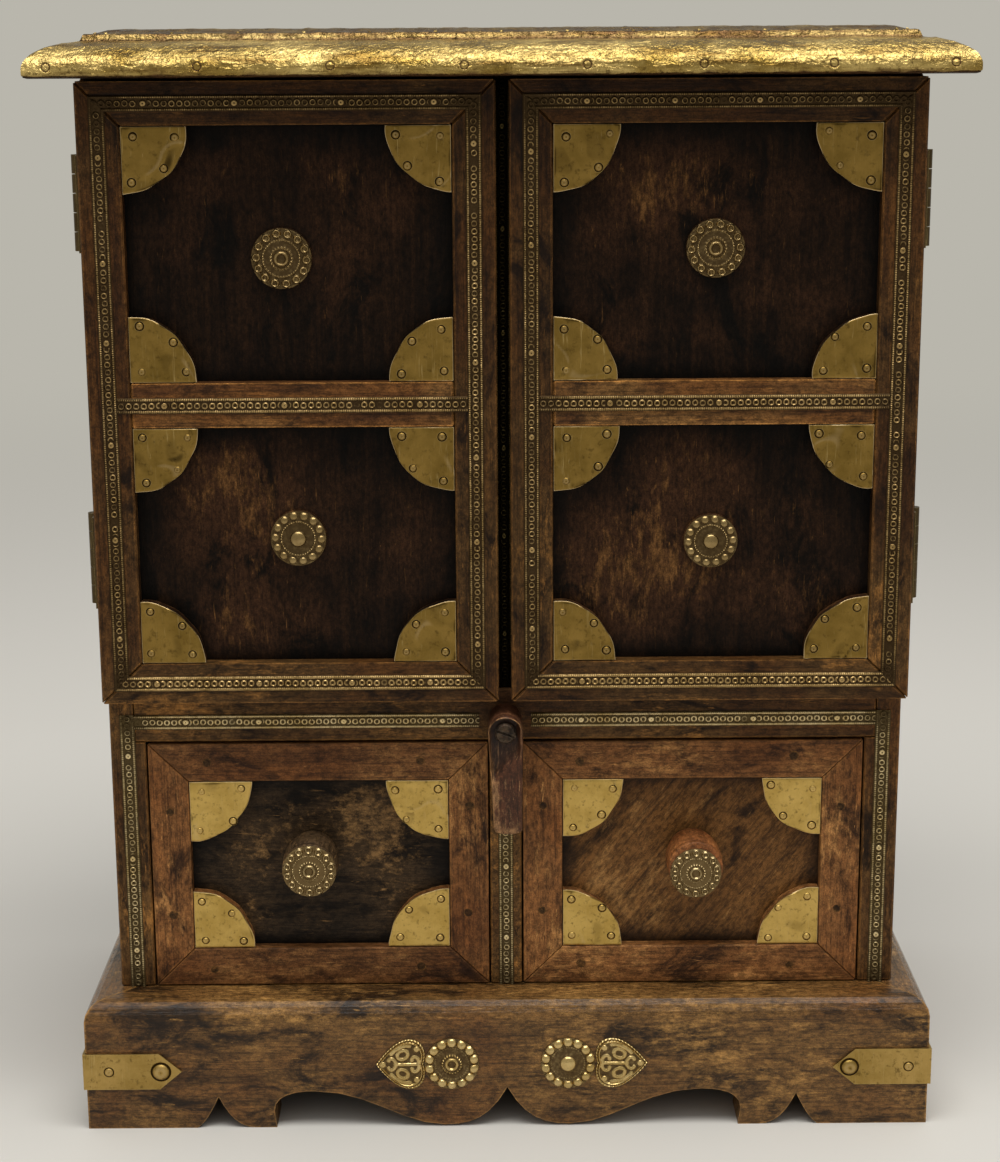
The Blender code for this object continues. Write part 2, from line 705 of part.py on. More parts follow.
def build_leaf(name, side, leads, middle, kept, frame):
    """One leaf of a hinge, with the kept knuckles. It leads back on the carcass or forward on the door."""
    axis = Vector((side * HINGE_AXIS_X, HINGE_AXIS_Y, middle))
    mesh = outline_mesh(name, hinge_outlines(side, leads), HINGE_HEIGHT)
    leaf = add_part(name, mesh, axis, "aged_brass", frame)
    knuckle = HINGE_HEIGHT / HINGE_KNUCKLES
    clear = HINGE_BARREL_RADIUS + RUNNING_GAP
    y_low, y_high = sorted((-leads * (clear + CUT_MARGIN), leads * clear))
    for i in set(range(HINGE_KNUCKLES)) - set(kept):
        z_low = -HINGE_HEIGHT / 2 + i * knuckle - (RUNNING_GAP / 2 if i else CUT_MARGIN)
        z_high = -HINGE_HEIGHT / 2 + (i + 1) * knuckle
        z_high += RUNNING_GAP / 2 if i < HINGE_KNUCKLES - 1 else CUT_MARGIN
        gap = block_cutter(
            f"{name}_gap_{i}",
            axis + Vector((-clear - CUT_MARGIN, y_low, z_low)),
            axis + Vector((clear + CUT_MARGIN, y_high, z_high)),
        )
        combine(leaf, gap)


def build_hinges(side, carcass_frame, door_frame):
    levels = {"upper": DOOR_TOP - UPPER_HINGE_DROP, "lower": DOOR_BASE + LOWER_HINGE_RISE}
    carcass_knuckles = range(0, HINGE_KNUCKLES, 2)
    door_knuckles = range(1, HINGE_KNUCKLES, 2)
    for level, middle in levels.items():
        name = f"{SIDE_NAMES[side]}_{level}_hinge_"
        build_leaf(name + "carcass_leaf", side, 1, middle, carcass_knuckles, carcass_frame)
        build_leaf(name + "door_leaf", side, -1, middle, door_knuckles, door_frame)
        half = HINGE_HEIGHT / 2
        profile = [(0, half), (HINGE_PIN_RADIUS, half), (HINGE_PIN_RADIUS, -half), (0, -half)]
        pin = turned_mesh(name + "pin", profile, HINGE_ROUND_POINTS)
        place = (side * HINGE_AXIS_X, HINGE_AXIS_Y, middle)
        add_part(name + "pin", pin, place, "aged_brass", carcass_frame)


# Doors


def build_door(side, frame):
    """A board faced with a mitred frame and a middle rail round two sunk panels, and its bead strip."""
    name = SIDE_NAMES[side] + "_door_"
    inner, outer = DOOR_MEETING_GAP / 2, HALF_WIDTH
    low, high = DOOR_BASE, DOOR_TOP
    x_low, x_high = sorted((side * inner, side * outer))
    block(name + "board", (x_low, DOOR_BOARD_FRONT, low), (x_high, DOOR_BACK, high), "dark_wood", frame)

    width, gap = DOOR_STILE_WIDTH, mitre_gap() / 2
    upright = [(low + gap, low + width + gap), (high - gap, high - width - gap)]
    level = [(inner + gap, inner + width + gap), (outer - gap, outer - width - gap)]
    members = {
        "hinge_stile": upright_member(outer, outer - width, upright),
        "meeting_stile": upright_member(inner, inner + width, upright),
        "top_rail": [(z, x) for x, z in upright_member(high, high - width, level)],
        "bottom_rail": [(z, x) for x, z in upright_member(low, low + width, level)],
    }
    rail_low = low + width + DOOR_LOWER_PANEL_HEIGHT
    rail_high = rail_low + DOOR_MID_RAIL_HEIGHT
    rail_in, rail_out = inner + width + FIT, outer - width - FIT
    members["mid_rail"] = rectangle(rail_in, rail_low, rail_out, rail_high)
    frame_back = DOOR_BOARD_FRONT - FIT
    for member, points in members.items():
        points = [(side * x, z) for x, z in points]
        ease_edges(sawn_piece(name + member, points, DOOR_FRONT, frame_back, "frame_wood", frame))

    ring_in, ring_out = inner + BEAD_INSET, outer - BEAD_INSET
    ring_low, ring_high = low + BEAD_INSET, high - BEAD_INSET
    rail_bead = (rail_low + rail_high - BEAD_WIDTH) / 2
    levels = [ring_low, rail_bead, ring_high - BEAD_WIDTH]
    holes = [
        rectangle(ring_in + BEAD_WIDTH, below + BEAD_WIDTH, ring_out - BEAD_WIDTH, above)
        for below, above in zip(levels, levels[1:])
    ]
    outlines = [rectangle(ring_in, ring_low, ring_out, ring_high)] + holes
    outlines = [[(side * x, z) for x, z in points] for points in outlines]
    mesh = upright_mesh(name + "bead", outlines, BEAD_THICKNESS)
    add_part(name + "bead", mesh, (0, DOOR_FRONT - FIT - BEAD_THICKNESS / 2, 0), "aged_brass", frame)


def upright_member(edge, inside, ends):
    """A mitred strip from edge to inside in x, with (edge, inside) levels in z at its two ends."""
    (start_edge, start_inside), (end_edge, end_inside) = ends
    return [(edge, start_edge), (edge, end_edge), (inside, end_inside), (inside, start_inside)]


def rectangle(x_low, z_low, x_high, z_high):
    return [(x_low, z_low), (x_high, z_low), (x_high, z_high), (x_low, z_high)]


# Drawers


def knob_mesh(name):
    """A turned knob that swells from its neck and closes to a flat face, with its tenon."""
    belly = KNOB_BELLY_HEIGHT
    profile = [
        (0, KNOB_LENGTH),
        (KNOB_FACE_RADIUS - EDGE_EASE, KNOB_LENGTH),
        (KNOB_FACE_RADIUS, KNOB_LENGTH - EDGE_EASE),
        (KNOB_RADIUS, belly + (KNOB_LENGTH - belly) / 2),
        (KNOB_RADIUS, belly),
        ((KNOB_RADIUS + KNOB_NECK_RADIUS) / 2, belly / 3),
        (KNOB_NECK_RADIUS, FIT),
        (KNOB_TENON_RADIUS, FIT),
        (KNOB_TENON_RADIUS, -KNOB_TENON_LENGTH),
        (0, -KNOB_TENON_LENGTH),
    ]
    return facing_front(turned_mesh(name, profile))


def build_drawer(side, frame):
    """A box on a thin bottom, whose front board carries a frame round a sunk panel, and a knob."""
    name = SIDE_NAMES[side] + "_drawer_"
    inner, outer = HALF_DIVIDER + DRAWER_SIDE_CLEARANCE, HALF_INSIDE - DRAWER_SIDE_CLEARANCE
    low, high = DRAWER_BASE, DRAWER_TOP
    x_low, x_high = sorted((side * inner, side * outer))
    front_finish = "dark_wood" if side == LEFT else "drawer_wood"
    front = block(
        name + "front",
        (x_low, DRAWER_FRAME_BACK + FIT, low),
        (x_high, DRAWER_FRONT_BACK, high),
        front_finish,
        frame,
    )
    knob_x = side * (DRAWER_MIDDLE + KNOB_OUTWARD[side])
    knob_z = (low + high) / 2 + KNOB_RISE
    panel_y = DRAWER_FRAME_BACK + FIT
    hole_length = DRAWER_FRONT_THICKNESS + 2 * CUT_MARGIN
    hole_start = (knob_x, DRAWER_FRONT_BACK + CUT_MARGIN, knob_z)
    combine(front, rod_cutter(name + "knob_hole", KNOB_TENON_RADIUS + FIT, hole_start, hole_length))
    knob = knob_mesh(name + "knob")
    add_part(name + "knob", knob, (knob_x, panel_y, knob_z), front_finish, frame)

    width = DRAWER_FRAME_WIDTH
    outlines = [
        rectangle(x_low, low, x_high, high),
        rectangle(x_low + width, low + width, x_high - width, high - width),
    ]
    mesh = upright_mesh(name + "front_frame", outlines, DRAWER_FRAME_THICKNESS)
    place = (0, CARCASS_FRONT + DRAWER_FRAME_THICKNESS / 2, 0)
    ease_edges(add_part(name + "front_frame", mesh, place, "drawer_wood", frame))

    box_back = INNER_BACK - DRAWER_BACK_CLEARANCE
    box_front = DRAWER_FRONT_BACK + FIT
    wall = DRAWER_WALL_THICKNESS
    floor = low + DRAWER_BOTTOM_THICKNESS
    wall_base, wall_top = floor + FIT, high - DRAWER_WALL_DROP
    block(name + "bottom", (x_low, box_front, low), (x_high, box_back, floor), "drawer_wood", frame)
    for wall_name, x in (("left_wall", x_low), ("right_wall", x_high - wall)):
        block(
            name + wall_name,
            (x, box_front, wall_base),
            (x + wall, box_back, wall_top),
            "drawer_wood",
            frame,
        )
    block(
        name + "back",
        (x_low + wall + FIT, box_back - wall, wall_base),
        (x_high - wall - FIT, box_back, wall_top),
        "drawer_wood",
        frame,
    )


# Turn button


def build_turn_button(carcass_frame, frame):
    """A carved button on a screw. Its post is as deep as the doors, and its arm passes in front of them."""
    name = "turn_button"
    base, tip = BUTTON_BASE_WIDTH / 2, BUTTON_TIP_WIDTH / 2
    low, high = -BUTTON_TAIL_LENGTH, BUTTON_ARM_LENGTH
    arm = [(-base, low), (base, low), (tip, high), (-tip, high)]
    mesh = upright_mesh(name, [arm], BUTTON_ARM_THICKNESS)
    middle = (BUTTON_ARM_BACK + BUTTON_ARM_FRONT) / 2
    button = add_part(name, mesh, (0, middle, BUTTON_PIVOT_Z), "button_wood", frame)
    ease_edges(button, BUTTON_CORNER)

    post_back = CARCASS_FRONT - FIT
    post_start = (0, post_back, BUTTON_PIVOT_Z)
    post_length = post_back - BUTTON_ARM_BACK + BUTTON_POST_OVERLAP
    post = rod_cutter(name + "_post", BUTTON_POST_RADIUS, post_start, post_length, frame)
    combine(button, post, "UNION")

    proud = BUTTON_ARM_FRONT - CUT_MARGIN
    below = low - CUT_MARGIN
    scoop = [
        (BUTTON_SCOOP_FACE, below),
        (proud, below),
        (proud, BUTTON_SCOOP_END),
        (BUTTON_ARM_FRONT, BUTTON_SCOOP_END),
        (BUTTON_SCOOP_FACE, BUTTON_SCOOP_START),
    ]
    mesh = upright_mesh(name + "_scoop", [scoop], 2 * BUTTON_BASE_WIDTH)
    mesh.transform(Matrix.Rotation(math.radians(90), 4, "Z"))
    combine(button, add_cutter(name + "_scoop", mesh, (0, 0, BUTTON_PIVOT_Z), frame))
    bore_length = post_back - BUTTON_ARM_FRONT + 2 * CUT_MARGIN
    bore_start = (0, post_back + CUT_MARGIN, BUTTON_PIVOT_Z)
    bore_radius = SCREW_SHANK_RADIUS + RUNNING_GAP
    combine(button, rod_cutter(name + "_bore", bore_radius, bore_start, bore_length, frame))
    frame.rotation_euler.y = BUTTON_HANGING_ANGLE

    seat = CARCASS_FRONT - BUTTON_SCOOP_FACE + FIT
    profile = [
        (0, seat + SCREW_HEAD_HEIGHT),
        (SCREW_HEAD_FLAT_RADIUS, seat + SCREW_HEAD_HEIGHT),
        (SCREW_HEAD_RADIUS, seat + SCREW_HEAD_HEIGHT / 2),
        (SCREW_HEAD_RADIUS, seat),
        (SCREW_SHANK_RADIUS, seat),
        (SCREW_SHANK_RADIUS, -SCREW_GRIP),
        (0, -SCREW_GRIP),
    ]
    name = "turn_button_screw"
    pivot = Vector((0, CARCASS_FRONT, BUTTON_PIVOT_Z))
    screw = add_part(name, facing_front(turned_mesh(name, profile)), pivot, "dark_iron", carcass_frame)
    slot_depth = SCREW_SLOT_DEPTH + CUT_MARGIN
    mesh = box_mesh(name + "_slot", (3 * SCREW_HEAD_RADIUS, slot_depth, SCREW_SLOT_WIDTH))
    slot_y = -seat - SCREW_HEAD_HEIGHT - CUT_MARGIN / 2 + SCREW_SLOT_DEPTH / 2
    slot = add_cutter(name + "_slot", mesh, pivot + Vector((0, slot_y, 0)))
    slot.rotation_euler.y = SCREW_SLOT_TILT
    combine(screw, slot)


def build_cabinet():
    carcass = new_frame("carcass_frame", (0, 0, 0))
    build_top(carcass)
    build_carcass(carcass)
    build_carcass_beads(carcass)
    build_plinth(carcass)
    build_straps(carcass)
    for side, name in SIDE_NAMES.items():
        door = new_frame(name + "_door_axis", (side * HINGE_AXIS_X, HINGE_AXIS_Y, DOOR_BASE))
        build_door(side, door)
        build_hinges(side, carcass, door)
        drawer = new_frame(name + "_drawer_axis", (side * DRAWER_MIDDLE, CARCASS_FRONT, DRAWER_BASE))
        build_drawer(side, drawer)
    build_turn_button(carcass, new_frame("turn_button_axis", (0, CARCASS_FRONT, BUTTON_PIVOT_Z)))


build_cabinet()
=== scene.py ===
"""Looks of a brass-mounted table cabinet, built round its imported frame.

Lengths are metres. A piece that faces the front is drawn flat, with x to the right, y up and z out
of the face, and is then stood up in its place, so that every mesh keeps the cabinet's coordinates.
"""
import functools
import json
import math
import random
from collections import namedtuple

import bmesh
import bpy
import numpy as np
from mathutils import Matrix, Vector, noise


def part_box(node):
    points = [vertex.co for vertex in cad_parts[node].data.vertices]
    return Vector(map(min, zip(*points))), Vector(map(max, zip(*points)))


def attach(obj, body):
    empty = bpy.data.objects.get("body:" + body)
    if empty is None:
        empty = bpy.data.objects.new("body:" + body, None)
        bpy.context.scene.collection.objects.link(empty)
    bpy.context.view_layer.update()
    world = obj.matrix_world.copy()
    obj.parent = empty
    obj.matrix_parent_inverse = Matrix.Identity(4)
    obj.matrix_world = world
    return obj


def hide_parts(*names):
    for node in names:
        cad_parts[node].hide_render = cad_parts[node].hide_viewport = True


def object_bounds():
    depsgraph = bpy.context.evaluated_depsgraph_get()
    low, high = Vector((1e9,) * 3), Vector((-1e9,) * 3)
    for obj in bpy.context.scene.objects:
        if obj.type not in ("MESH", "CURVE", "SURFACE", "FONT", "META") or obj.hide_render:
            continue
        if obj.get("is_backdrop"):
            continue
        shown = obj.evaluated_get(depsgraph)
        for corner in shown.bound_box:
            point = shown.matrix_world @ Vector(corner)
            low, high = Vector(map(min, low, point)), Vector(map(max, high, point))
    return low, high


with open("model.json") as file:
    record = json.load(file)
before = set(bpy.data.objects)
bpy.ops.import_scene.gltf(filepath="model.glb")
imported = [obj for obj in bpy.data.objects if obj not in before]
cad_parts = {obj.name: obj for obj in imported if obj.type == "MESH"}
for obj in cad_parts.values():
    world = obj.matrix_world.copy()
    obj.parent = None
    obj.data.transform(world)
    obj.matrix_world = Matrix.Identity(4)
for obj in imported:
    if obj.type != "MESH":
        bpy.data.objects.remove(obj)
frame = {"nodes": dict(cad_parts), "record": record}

CAD_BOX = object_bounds()
MM = 0.001
SIDES = {"left": -1, "right": 1}
EDGES = ("bottom", "right", "top", "left")
SHARP_ANGLE = 42.0
EASED_ANGLE = math.radians(40)

# Camera, fitted to the photograph
CAMERA_PLACE = (-5.19 * MM, -1050.6 * MM, 475.1 * MM)
CAMERA_PITCH = math.radians(13.259)
CAMERA_YAW = math.radians(0.194)
CAMERA_ROLL = math.radians(0.343)
CAMERA_LENS = 70.45
CAMERA_SENSOR = 36.0

# Studio
BACKDROP = "b9b6ac"
FLOOR_NEAR = "d6d2c9"
FLOOR_FAR = "5a5650"
FLOOR_ROUGHNESS = 0.8
FLOOR_RADIUS = 6.0
FLOOR_FADE = (0.7, 2.4)
FILL_SPAN = (-0.1, 0.9)
FILL = (0.12, 0.62)
KEY_PLACE = Vector((0.1, -0.47, 1.75))
KEY_AIM = Vector((0.0, -0.08, 0.2))
KEY_SIZE = (1.6, 0.8)
KEY_POWER = 24.0

# Bead strip: a row of stamped rings between two lines of fine beads
STRIP_HALF_WIDTH = 3.35 * MM
STRIP_COLUMNS = np.array([0.0, 0.42, 0.72, 0.97, 1.22, 1.47, 1.8, 2.24, 2.6, 2.96, 3.35]) * MM
STRIP_FLOOR = 0.3 * MM
STRIP_CREST = 0.75 * MM
RING_PITCH = 3.2 * MM
RING_STEPS = 14
RING_CREST_RADIUS = 1.06 * MM
RING_HALF_WIDTH = 0.5 * MM
RING_SHIFT = 0.14 * MM
RING_HEIGHTS = (0.65, 0.95)
RING_WHOLE_SHARE = 0.97
RING_WORN_HEIGHT = 0.3
BEADS_PER_RING = 3.5
BEAD_DEPTH = 0.25
BEAD_LINE_PLACE = 2.52 * MM
BEAD_LINE_HALF_WIDTH = 0.7 * MM
STRIP_END_GRIME = 0.35
STRIP_END_REACH = 14.0 * MM
STRIP_PIN_SPACING = 43.0 * MM
STRIP_PIN_SHIFT = 0.12
STRIP_PIN_RADIUS = 1.75 * MM
STRIP_PIN_HEIGHT = 0.75 * MM
STRIP_PIN_CLEARING = (0.9 * STRIP_PIN_RADIUS, 1.5 * STRIP_PIN_RADIUS)
STRIP_PIN_GRIME = 0.35
# Painted light and shade on the door strips, laid on as dirt: darker along the top and sides, lighter along
# the bottom
DOOR_STRIP_PAINTED_LIGHT = {"bottom": -0.06, "right": 0.28, "top": 0.36, "left": 0.34, "middle": 0.14}
# Painted shade on the carcass strips, laid on as dirt: the uprights duller than the rail
CARCASS_STRIP_PAINTED_LIGHT = {"upright": 0.3, "rail": 0.0}
SEED_STEP = 10
CARCASS_STRIP_SEED = 30
DRAWER_DIVIDER_SEED = 50
CUPBOARD_DIVIDER_SEED = 51

# Brass quarter plates on the corner blocks of the panels
PLATE_RADIUS = 27.2 * MM
PLATE_SIZES = (0.975, 1.025)
PLATE_THICKNESS = 0.7 * MM
PLATE_STEPS = 26
PLATE_GAP = 0.35 * MM
PLATE_RIPPLES = ((0.008, 5.0, 1.0), (0.006, 13.0, 2.0))
PLATE_RIM = 0.005
PLATE_RIM_DROP = 0.35 * MM
PLATE_RIM_GRIME = 0.35
PLATE_RIM_GRIME_END = 0.06
PLATE_NOISE_SPAN = 0.1
PLATE_WAVE = 19.0 * MM
PLATE_CREASED_AREA = 23.0 * MM
PLATE_CREASED = (-0.05, 0.25)
FOLD_HALF_WIDTH = 0.07
FOLD_SHADOW_PLACE = 0.12
FOLD_SHADOW = 0.5
FOLD_HEIGHT = 0.3 * MM
FOLD_SHINE = 0.4
PLATE_SMUDGE = 8.0 * MM
PLATE_SMUDGED = (0.1, 0.6)
PLATE_SMUDGE_GRIME = 0.48
PLATE_DENT = 11.0 * MM
PLATE_DENT_DEPTH = 0.28 * MM
PLATE_PIN_PLACES = ((0.17, 0.16), (0.83, 0.14), (0.66, 0.64), (0.16, 0.83))
PLATE_PIN_SHIFT = 0.03
PLATE_PIN_RADIUS = 1.9 * MM
PLATE_PIN_SIZES = (0.93, 1.05)
PLATE_PIN_HEIGHT = 0.75 * MM
PLATE_SEED = 7
BLOCK_SHORTFALL = 0.5 * MM
BLOCK_STEPS = 8
CORNERS = {"bottom_left": (1, 1), "bottom_right": (-1, 1), "top_left": (1, -1), "top_right": (-1, -1)}

# Rosettes: rings are place and half width, balls, cups and boss half width and height, beads count and depth
ROSETTE_BEADS = 14
ROSETTE_COLUMNS = 14 * ROSETTE_BEADS
ROSETTE_ROWS = np.concatenate([np.linspace(0.0, 0.48, 17), np.linspace(0.52, 1.0, 25)])
ROSETTE_FLOOR = 0.4 * MM
ROSETTE_LOWEST = 0.2 * MM
ROSETTE_HEIGHT = 1.0 * MM
ROSETTE_CROWN = 0.9 * MM
ROSETTE_DIRT = 0.88
ROSETTE_CLEAN_FROM = 0.7
BALL_PLACE = 0.84
BALL_POWER = 0.55
LOW_BALLS = (0.145, 1.0)
HIGH_BALLS = (0.18, 1.6)
CUP_RING = (0.105, 0.05)
CUP_FLOOR = (0.1, 0.2)
FINE_RING = (0.61, 0.035)
FINE_BEADS = (3.0, 0.38)
FINE_HEIGHTS = {"low": 0.75, "high": 0.4}
INNER_RING = (0.35, 0.05)
INNER_BEADS = (1.5, 0.4)
INNER_HEIGHT = 0.8
MIDDLE_RING = (0.19, 0.07)
BOSS = (0.3, 1.8)
BOSS_POWER = 0.5
RIM_EDGE = (0.93, 0.96)
RIM_HEIGHT = 0.15
DISH_INNER = (0.3, 0.45)
DISH_OUTER = (0.6, 0.72)
DISH_DEPTH = 0.8
DOOR_ROSETTE_RADII = {"left_door_upper": 12.6 * MM, "left_door_lower": 11.9 * MM,
                      "right_door_upper": 12.2 * MM, "right_door_lower": 11.5 * MM}
DOOR_ROSETTE_PLACES = {"left_door_upper": (-3.5 * MM, -1.7 * MM), "left_door_lower": (0.5 * MM, 2.5 * MM),
                       "right_door_upper": (0.0, 1.5 * MM), "right_door_lower": (-0.2 * MM, 0.2 * MM)}
DOOR_ROSETTE_TURN = 3.0
DISC_THICKNESS = 1.6 * MM
DISC_MARGIN = 0.3 * MM
DISC_CHAMFER = (0.4 * MM, 0.5 * MM)
DISC_COLUMNS = 48
KNOB_ROSETTE_RADIUS = {"left": 11.8 * MM, "right": 11.3 * MM}
KNOB_ROSETTE_DROP = {"left": 0.0, "right": 2.2 * MM}
PLINTH_ROSETTE_RADIUS = 12.2 * MM
PLINTH_ROSETTE_X = {"left": -24.9 * MM, "right": 27.2 * MM}
PLINTH_TRIM_HEIGHT = 30.5 * MM

# Hearts: half of the outline and of the scrolls, as shares of length and width, with the tip to the right
HEART_X = {"left": -47.4 * MM, "right": 50.7 * MM}
HEART_LENGTH = {"left": 23.2 * MM, "right": 24.6 * MM}
HEART_WIDTH = 24.0 * MM
HEART_FLOOR = 0.35 * MM
HEART_RIDGE = 0.9 * MM
HEART_CROWN = 0.5 * MM
HEART_DIRT = 0.9
HEART_CLEAN_FROM = 0.6
HEART_ROWS = np.concatenate([[0.0], np.linspace(0.05, 0.8, 22), np.linspace(0.83, 1.0, 10)])
HEART_LOBE = ((-0.42, 0.0), (-0.5, 0.2), (-0.44, 0.5), (-0.15, 0.5))
HEART_LOBE_STEPS = 40
HEART_POINT = ((-0.15, 0.5), (0.1, 0.5), (0.36, 0.2), (0.5, 0.0))
HEART_POINT_STEPS = 50
HEART_SCROLLS = (
    ((-0.34, 0.0), (-0.2, 0.0), (0.0, 0.0), (0.12, 0.0)),
    ((0.1, 0.0), (0.14, 0.12), (0.22, 0.15), (0.25, 0.07)),
    ((-0.34, 0.02), (-0.34, 0.16), (-0.2, 0.2), (-0.2, 0.08)),
    ((-0.12, 0.2), (-0.12, 0.34), (0.1, 0.28), (0.08, 0.16)),
    ((-0.12, 0.2), (-0.12, 0.1), (0.06, 0.06), (0.08, 0.16)),
    ((-0.16, 0.37), (0.0, 0.38), (0.14, 0.28), (0.2, 0.2)),
)
HEART_SCROLL_STEPS = 24
HEART_SCROLL_HALF_WIDTH = 0.95 * MM
HEART_SCROLL_HEIGHT = 0.8
HEART_SCROLL_LIMIT = 0.82
MILLED_EDGE = (0.96, 0.045)
MILLED_DEPTH = 0.38
PLAIN_RIDGE = (0.855, 0.04)
PLAIN_HEIGHT = 0.9
HEART_PINS = ((0.36, 0.0), (-0.29, 0.31), (-0.29, -0.31))
HEART_PIN_RADIUS = 1.7 * MM
HEART_PIN_HEIGHT = 0.7 * MM
HEART_PIN_LEVEL = 0.9 * MM

# Drawer fronts
FRAME_BAND = 17.5 * MM
MITRE_GAP = 0.12 * MM
MEMBER_GRIME = {"left": {"bottom": 0.55, "right": 0.25, "top": 0.5, "left": 0.0},
                "right": {"bottom": 0.25, "right": 0.0, "top": 0.3, "left": 0.15}}
PEG_RADIUS = 2.1 * MM
PEG_SIZES = (0.8, 1.05)
PEG_SHIFT_X = 1.0 * MM
PEG_SHIFT_Z = 1.5 * MM
PEG_GRIME = 0.7
PEG_STILE_PLACES = (0.27, 0.70)
PEG_RAIL_PLACES = (0.17, 0.80)
PEG_COLUMNS = 20
PEG_SEED = 60
KNOB_COLUMNS = 56

# Turned profiles: rows of radius, height and dirt from the middle of the top to the bottom edge; the dirt
# value also carries painted shade
PEG_PROFILE = ((0.0, 0.06 * MM, PEG_GRIME), (0.7, 0.05 * MM, PEG_GRIME), (1.0, 0.02 * MM, PEG_GRIME),
               (1.0, -2.0 * MM, PEG_GRIME))
# The dark rows round the pin's foot are a painted shadow
PIN_PROFILE = (
    (0.0, 0.8, 0.6), (0.13, 0.86, 0.3), (0.25, 1.0, -0.4), (0.48, 0.95, -0.4), (0.66, 0.78, -0.2),
    (0.78, 0.4, 0.4), (0.86, 0.1, 1.0), (1.0, 0.02, 1.0), (1.08, -0.02, 0.5), (1.08, -0.4, 0.5),
)
NAIL_PROFILE = (
    (0.0, 1.0, 0.0), (0.2, 0.95, 0.0), (0.36, 0.76, 0.0), (0.48, 0.35, 0.2), (0.53, 0.0, 1.0),
    (0.62, 0.0, 1.0), (0.74, 0.35, 0.1), (0.86, 0.28, 0.0), (1.0, 0.0, 0.2), (1.0, -0.8, 0.2),
)
KNOB_PROFILE = (
    (0.0, 1.0, 0.0), (0.6, 1.0, 0.0), (0.93, 1.0, 0.0), (0.965, 0.985, 0.0), (0.975, 0.955, 0.0),
    (0.965, 0.915, 0.3), (0.94, 0.895, 0.8), (0.935, 0.87, 0.8), (0.955, 0.85, 0.3), (0.985, 0.8, 0.0),
    (1.0, 0.7, 0.0), (1.0, 0.6, 0.0), (0.99, 0.5, 0.0), (0.97, 0.43, 0.5), (0.985, 0.4, 0.0),
    (0.985, 0.37, 0.0), (0.965, 0.34, 0.3), (0.945, 0.27, 0.0), (0.915, 0.17, 0.0), (0.88, 0.08, 0.3),
    (0.855, 0.02, 0.8), (0.3, 0.02, 0.8), (0.3, -0.3, 0.0),
)

# Moulded top: reach in from the edge and height above the base, in millimetres for the lip and the tiers
TOP_LIP = ((1.5, 0.3), (0.4, 0.6), (0.0, 1.5))
TOP_LIP_HEIGHT = 3.5 * MM
TOP_NOSE_REACH = 21.0 * MM
TOP_NOSE_HEIGHT = 11.3 * MM
TOP_NOSE_STEPS = 16
TOP_TIERS = ((21.6, 16.0), (22.0, 17.0), (22.6, 17.6), (24.0, 17.9), (26.0, 18.1), (28.5, 18.8),
             (31.0, 19.6), (34.0, 19.8))
TOP_SPACING = 1.7 * MM
TOP_FLAT_ROWS = 32
TOP_DENT = 0.72 * MM
TOP_SHEET = 0.15 * MM
TOP_WALL = 22.0 * MM
TOP_WALL_HALF_WIDTH = 2.0 * MM
TOP_WALL_HOLD = 0.8
TOP_SHARP_ANGLE = 60.0

# Marks on the cover: size in metres, squeeze in height and seed of their noise
TOP_MARKS = {"dents": (17.0 * MM, 1.0, 1), "pocks": (5.5 * MM, 1.0, 2), "strokes": (4.5 * MM, 0.45, 4),
             "folds": (9.0 * MM, 0.6, 3), "wrinkles": (13.0 * MM, 1.0, 9)}
TOP_CRUMPLED = (17.8 * MM, 18.6 * MM)
TOP_CORNER = (150.0 * MM, 188.0 * MM)
DENT_DEPTH = 0.25
POCK_DEPTHS = (0.6, 0.5)
STROKE_DEPTH = 0.5
FOLD_DEPTH = 0.6
WRINKLE_HALF_WIDTH = 0.12
WRINKLE_HEIGHT = 0.35

# Dirt on the cover: the steps above its nose, the crease behind it and the pocks; the lip is darker towards
# its lower edge
STEP_DIRT = 0.7
STEP_DIRT_HEIGHTS = (15.0 * MM, 16.6 * MM)
STEP_CLEANER = 0.45
STEP_CLEANER_INSETS = (30.0 * MM, 45.0 * MM)
CREASE_HALF_WIDTH = 1.2 * MM
CREASE_TOP = 16.0 * MM
LIP_DARKENING = 0.8
LIP_DARKENING_HEIGHT = 2.5 * MM
POCK_DIRT = 0.5

# Nails of the top: a row round its nose, and a row of small ones on the step above
TOP_NAIL_X = (-182.6, -122.1, -68.8, -15.1, 34.2, 81.0, 133.1, 182.0)
TOP_NAIL_SIDE_COUNT = 5
TOP_NAIL_SIDE_SPAN = 0.85
TOP_NAIL_HEIGHT = 4.6 * MM
TOP_NAIL_RADIUS = 2.9 * MM
TOP_NAIL_RISE = 0.6 * MM
TOP_NAIL_TILT = 0.2
TOP_NAIL_SEAT = (2.6 * MM, 4.6 * MM)
CROWN_NAIL_SPACING = 26.5 * MM
CROWN_NAIL_SPAN = 0.97
CROWN_NAIL_INSET = 26.0 * MM
CROWN_NAIL_HEIGHT = 18.1 * MM
CROWN_NAIL_RADIUS = 1.0 * MM
CROWN_NAIL_RISE = 0.5 * MM
CROWN_NAIL_TILT = 0.3
WELD_REACH = 0.01 * MM

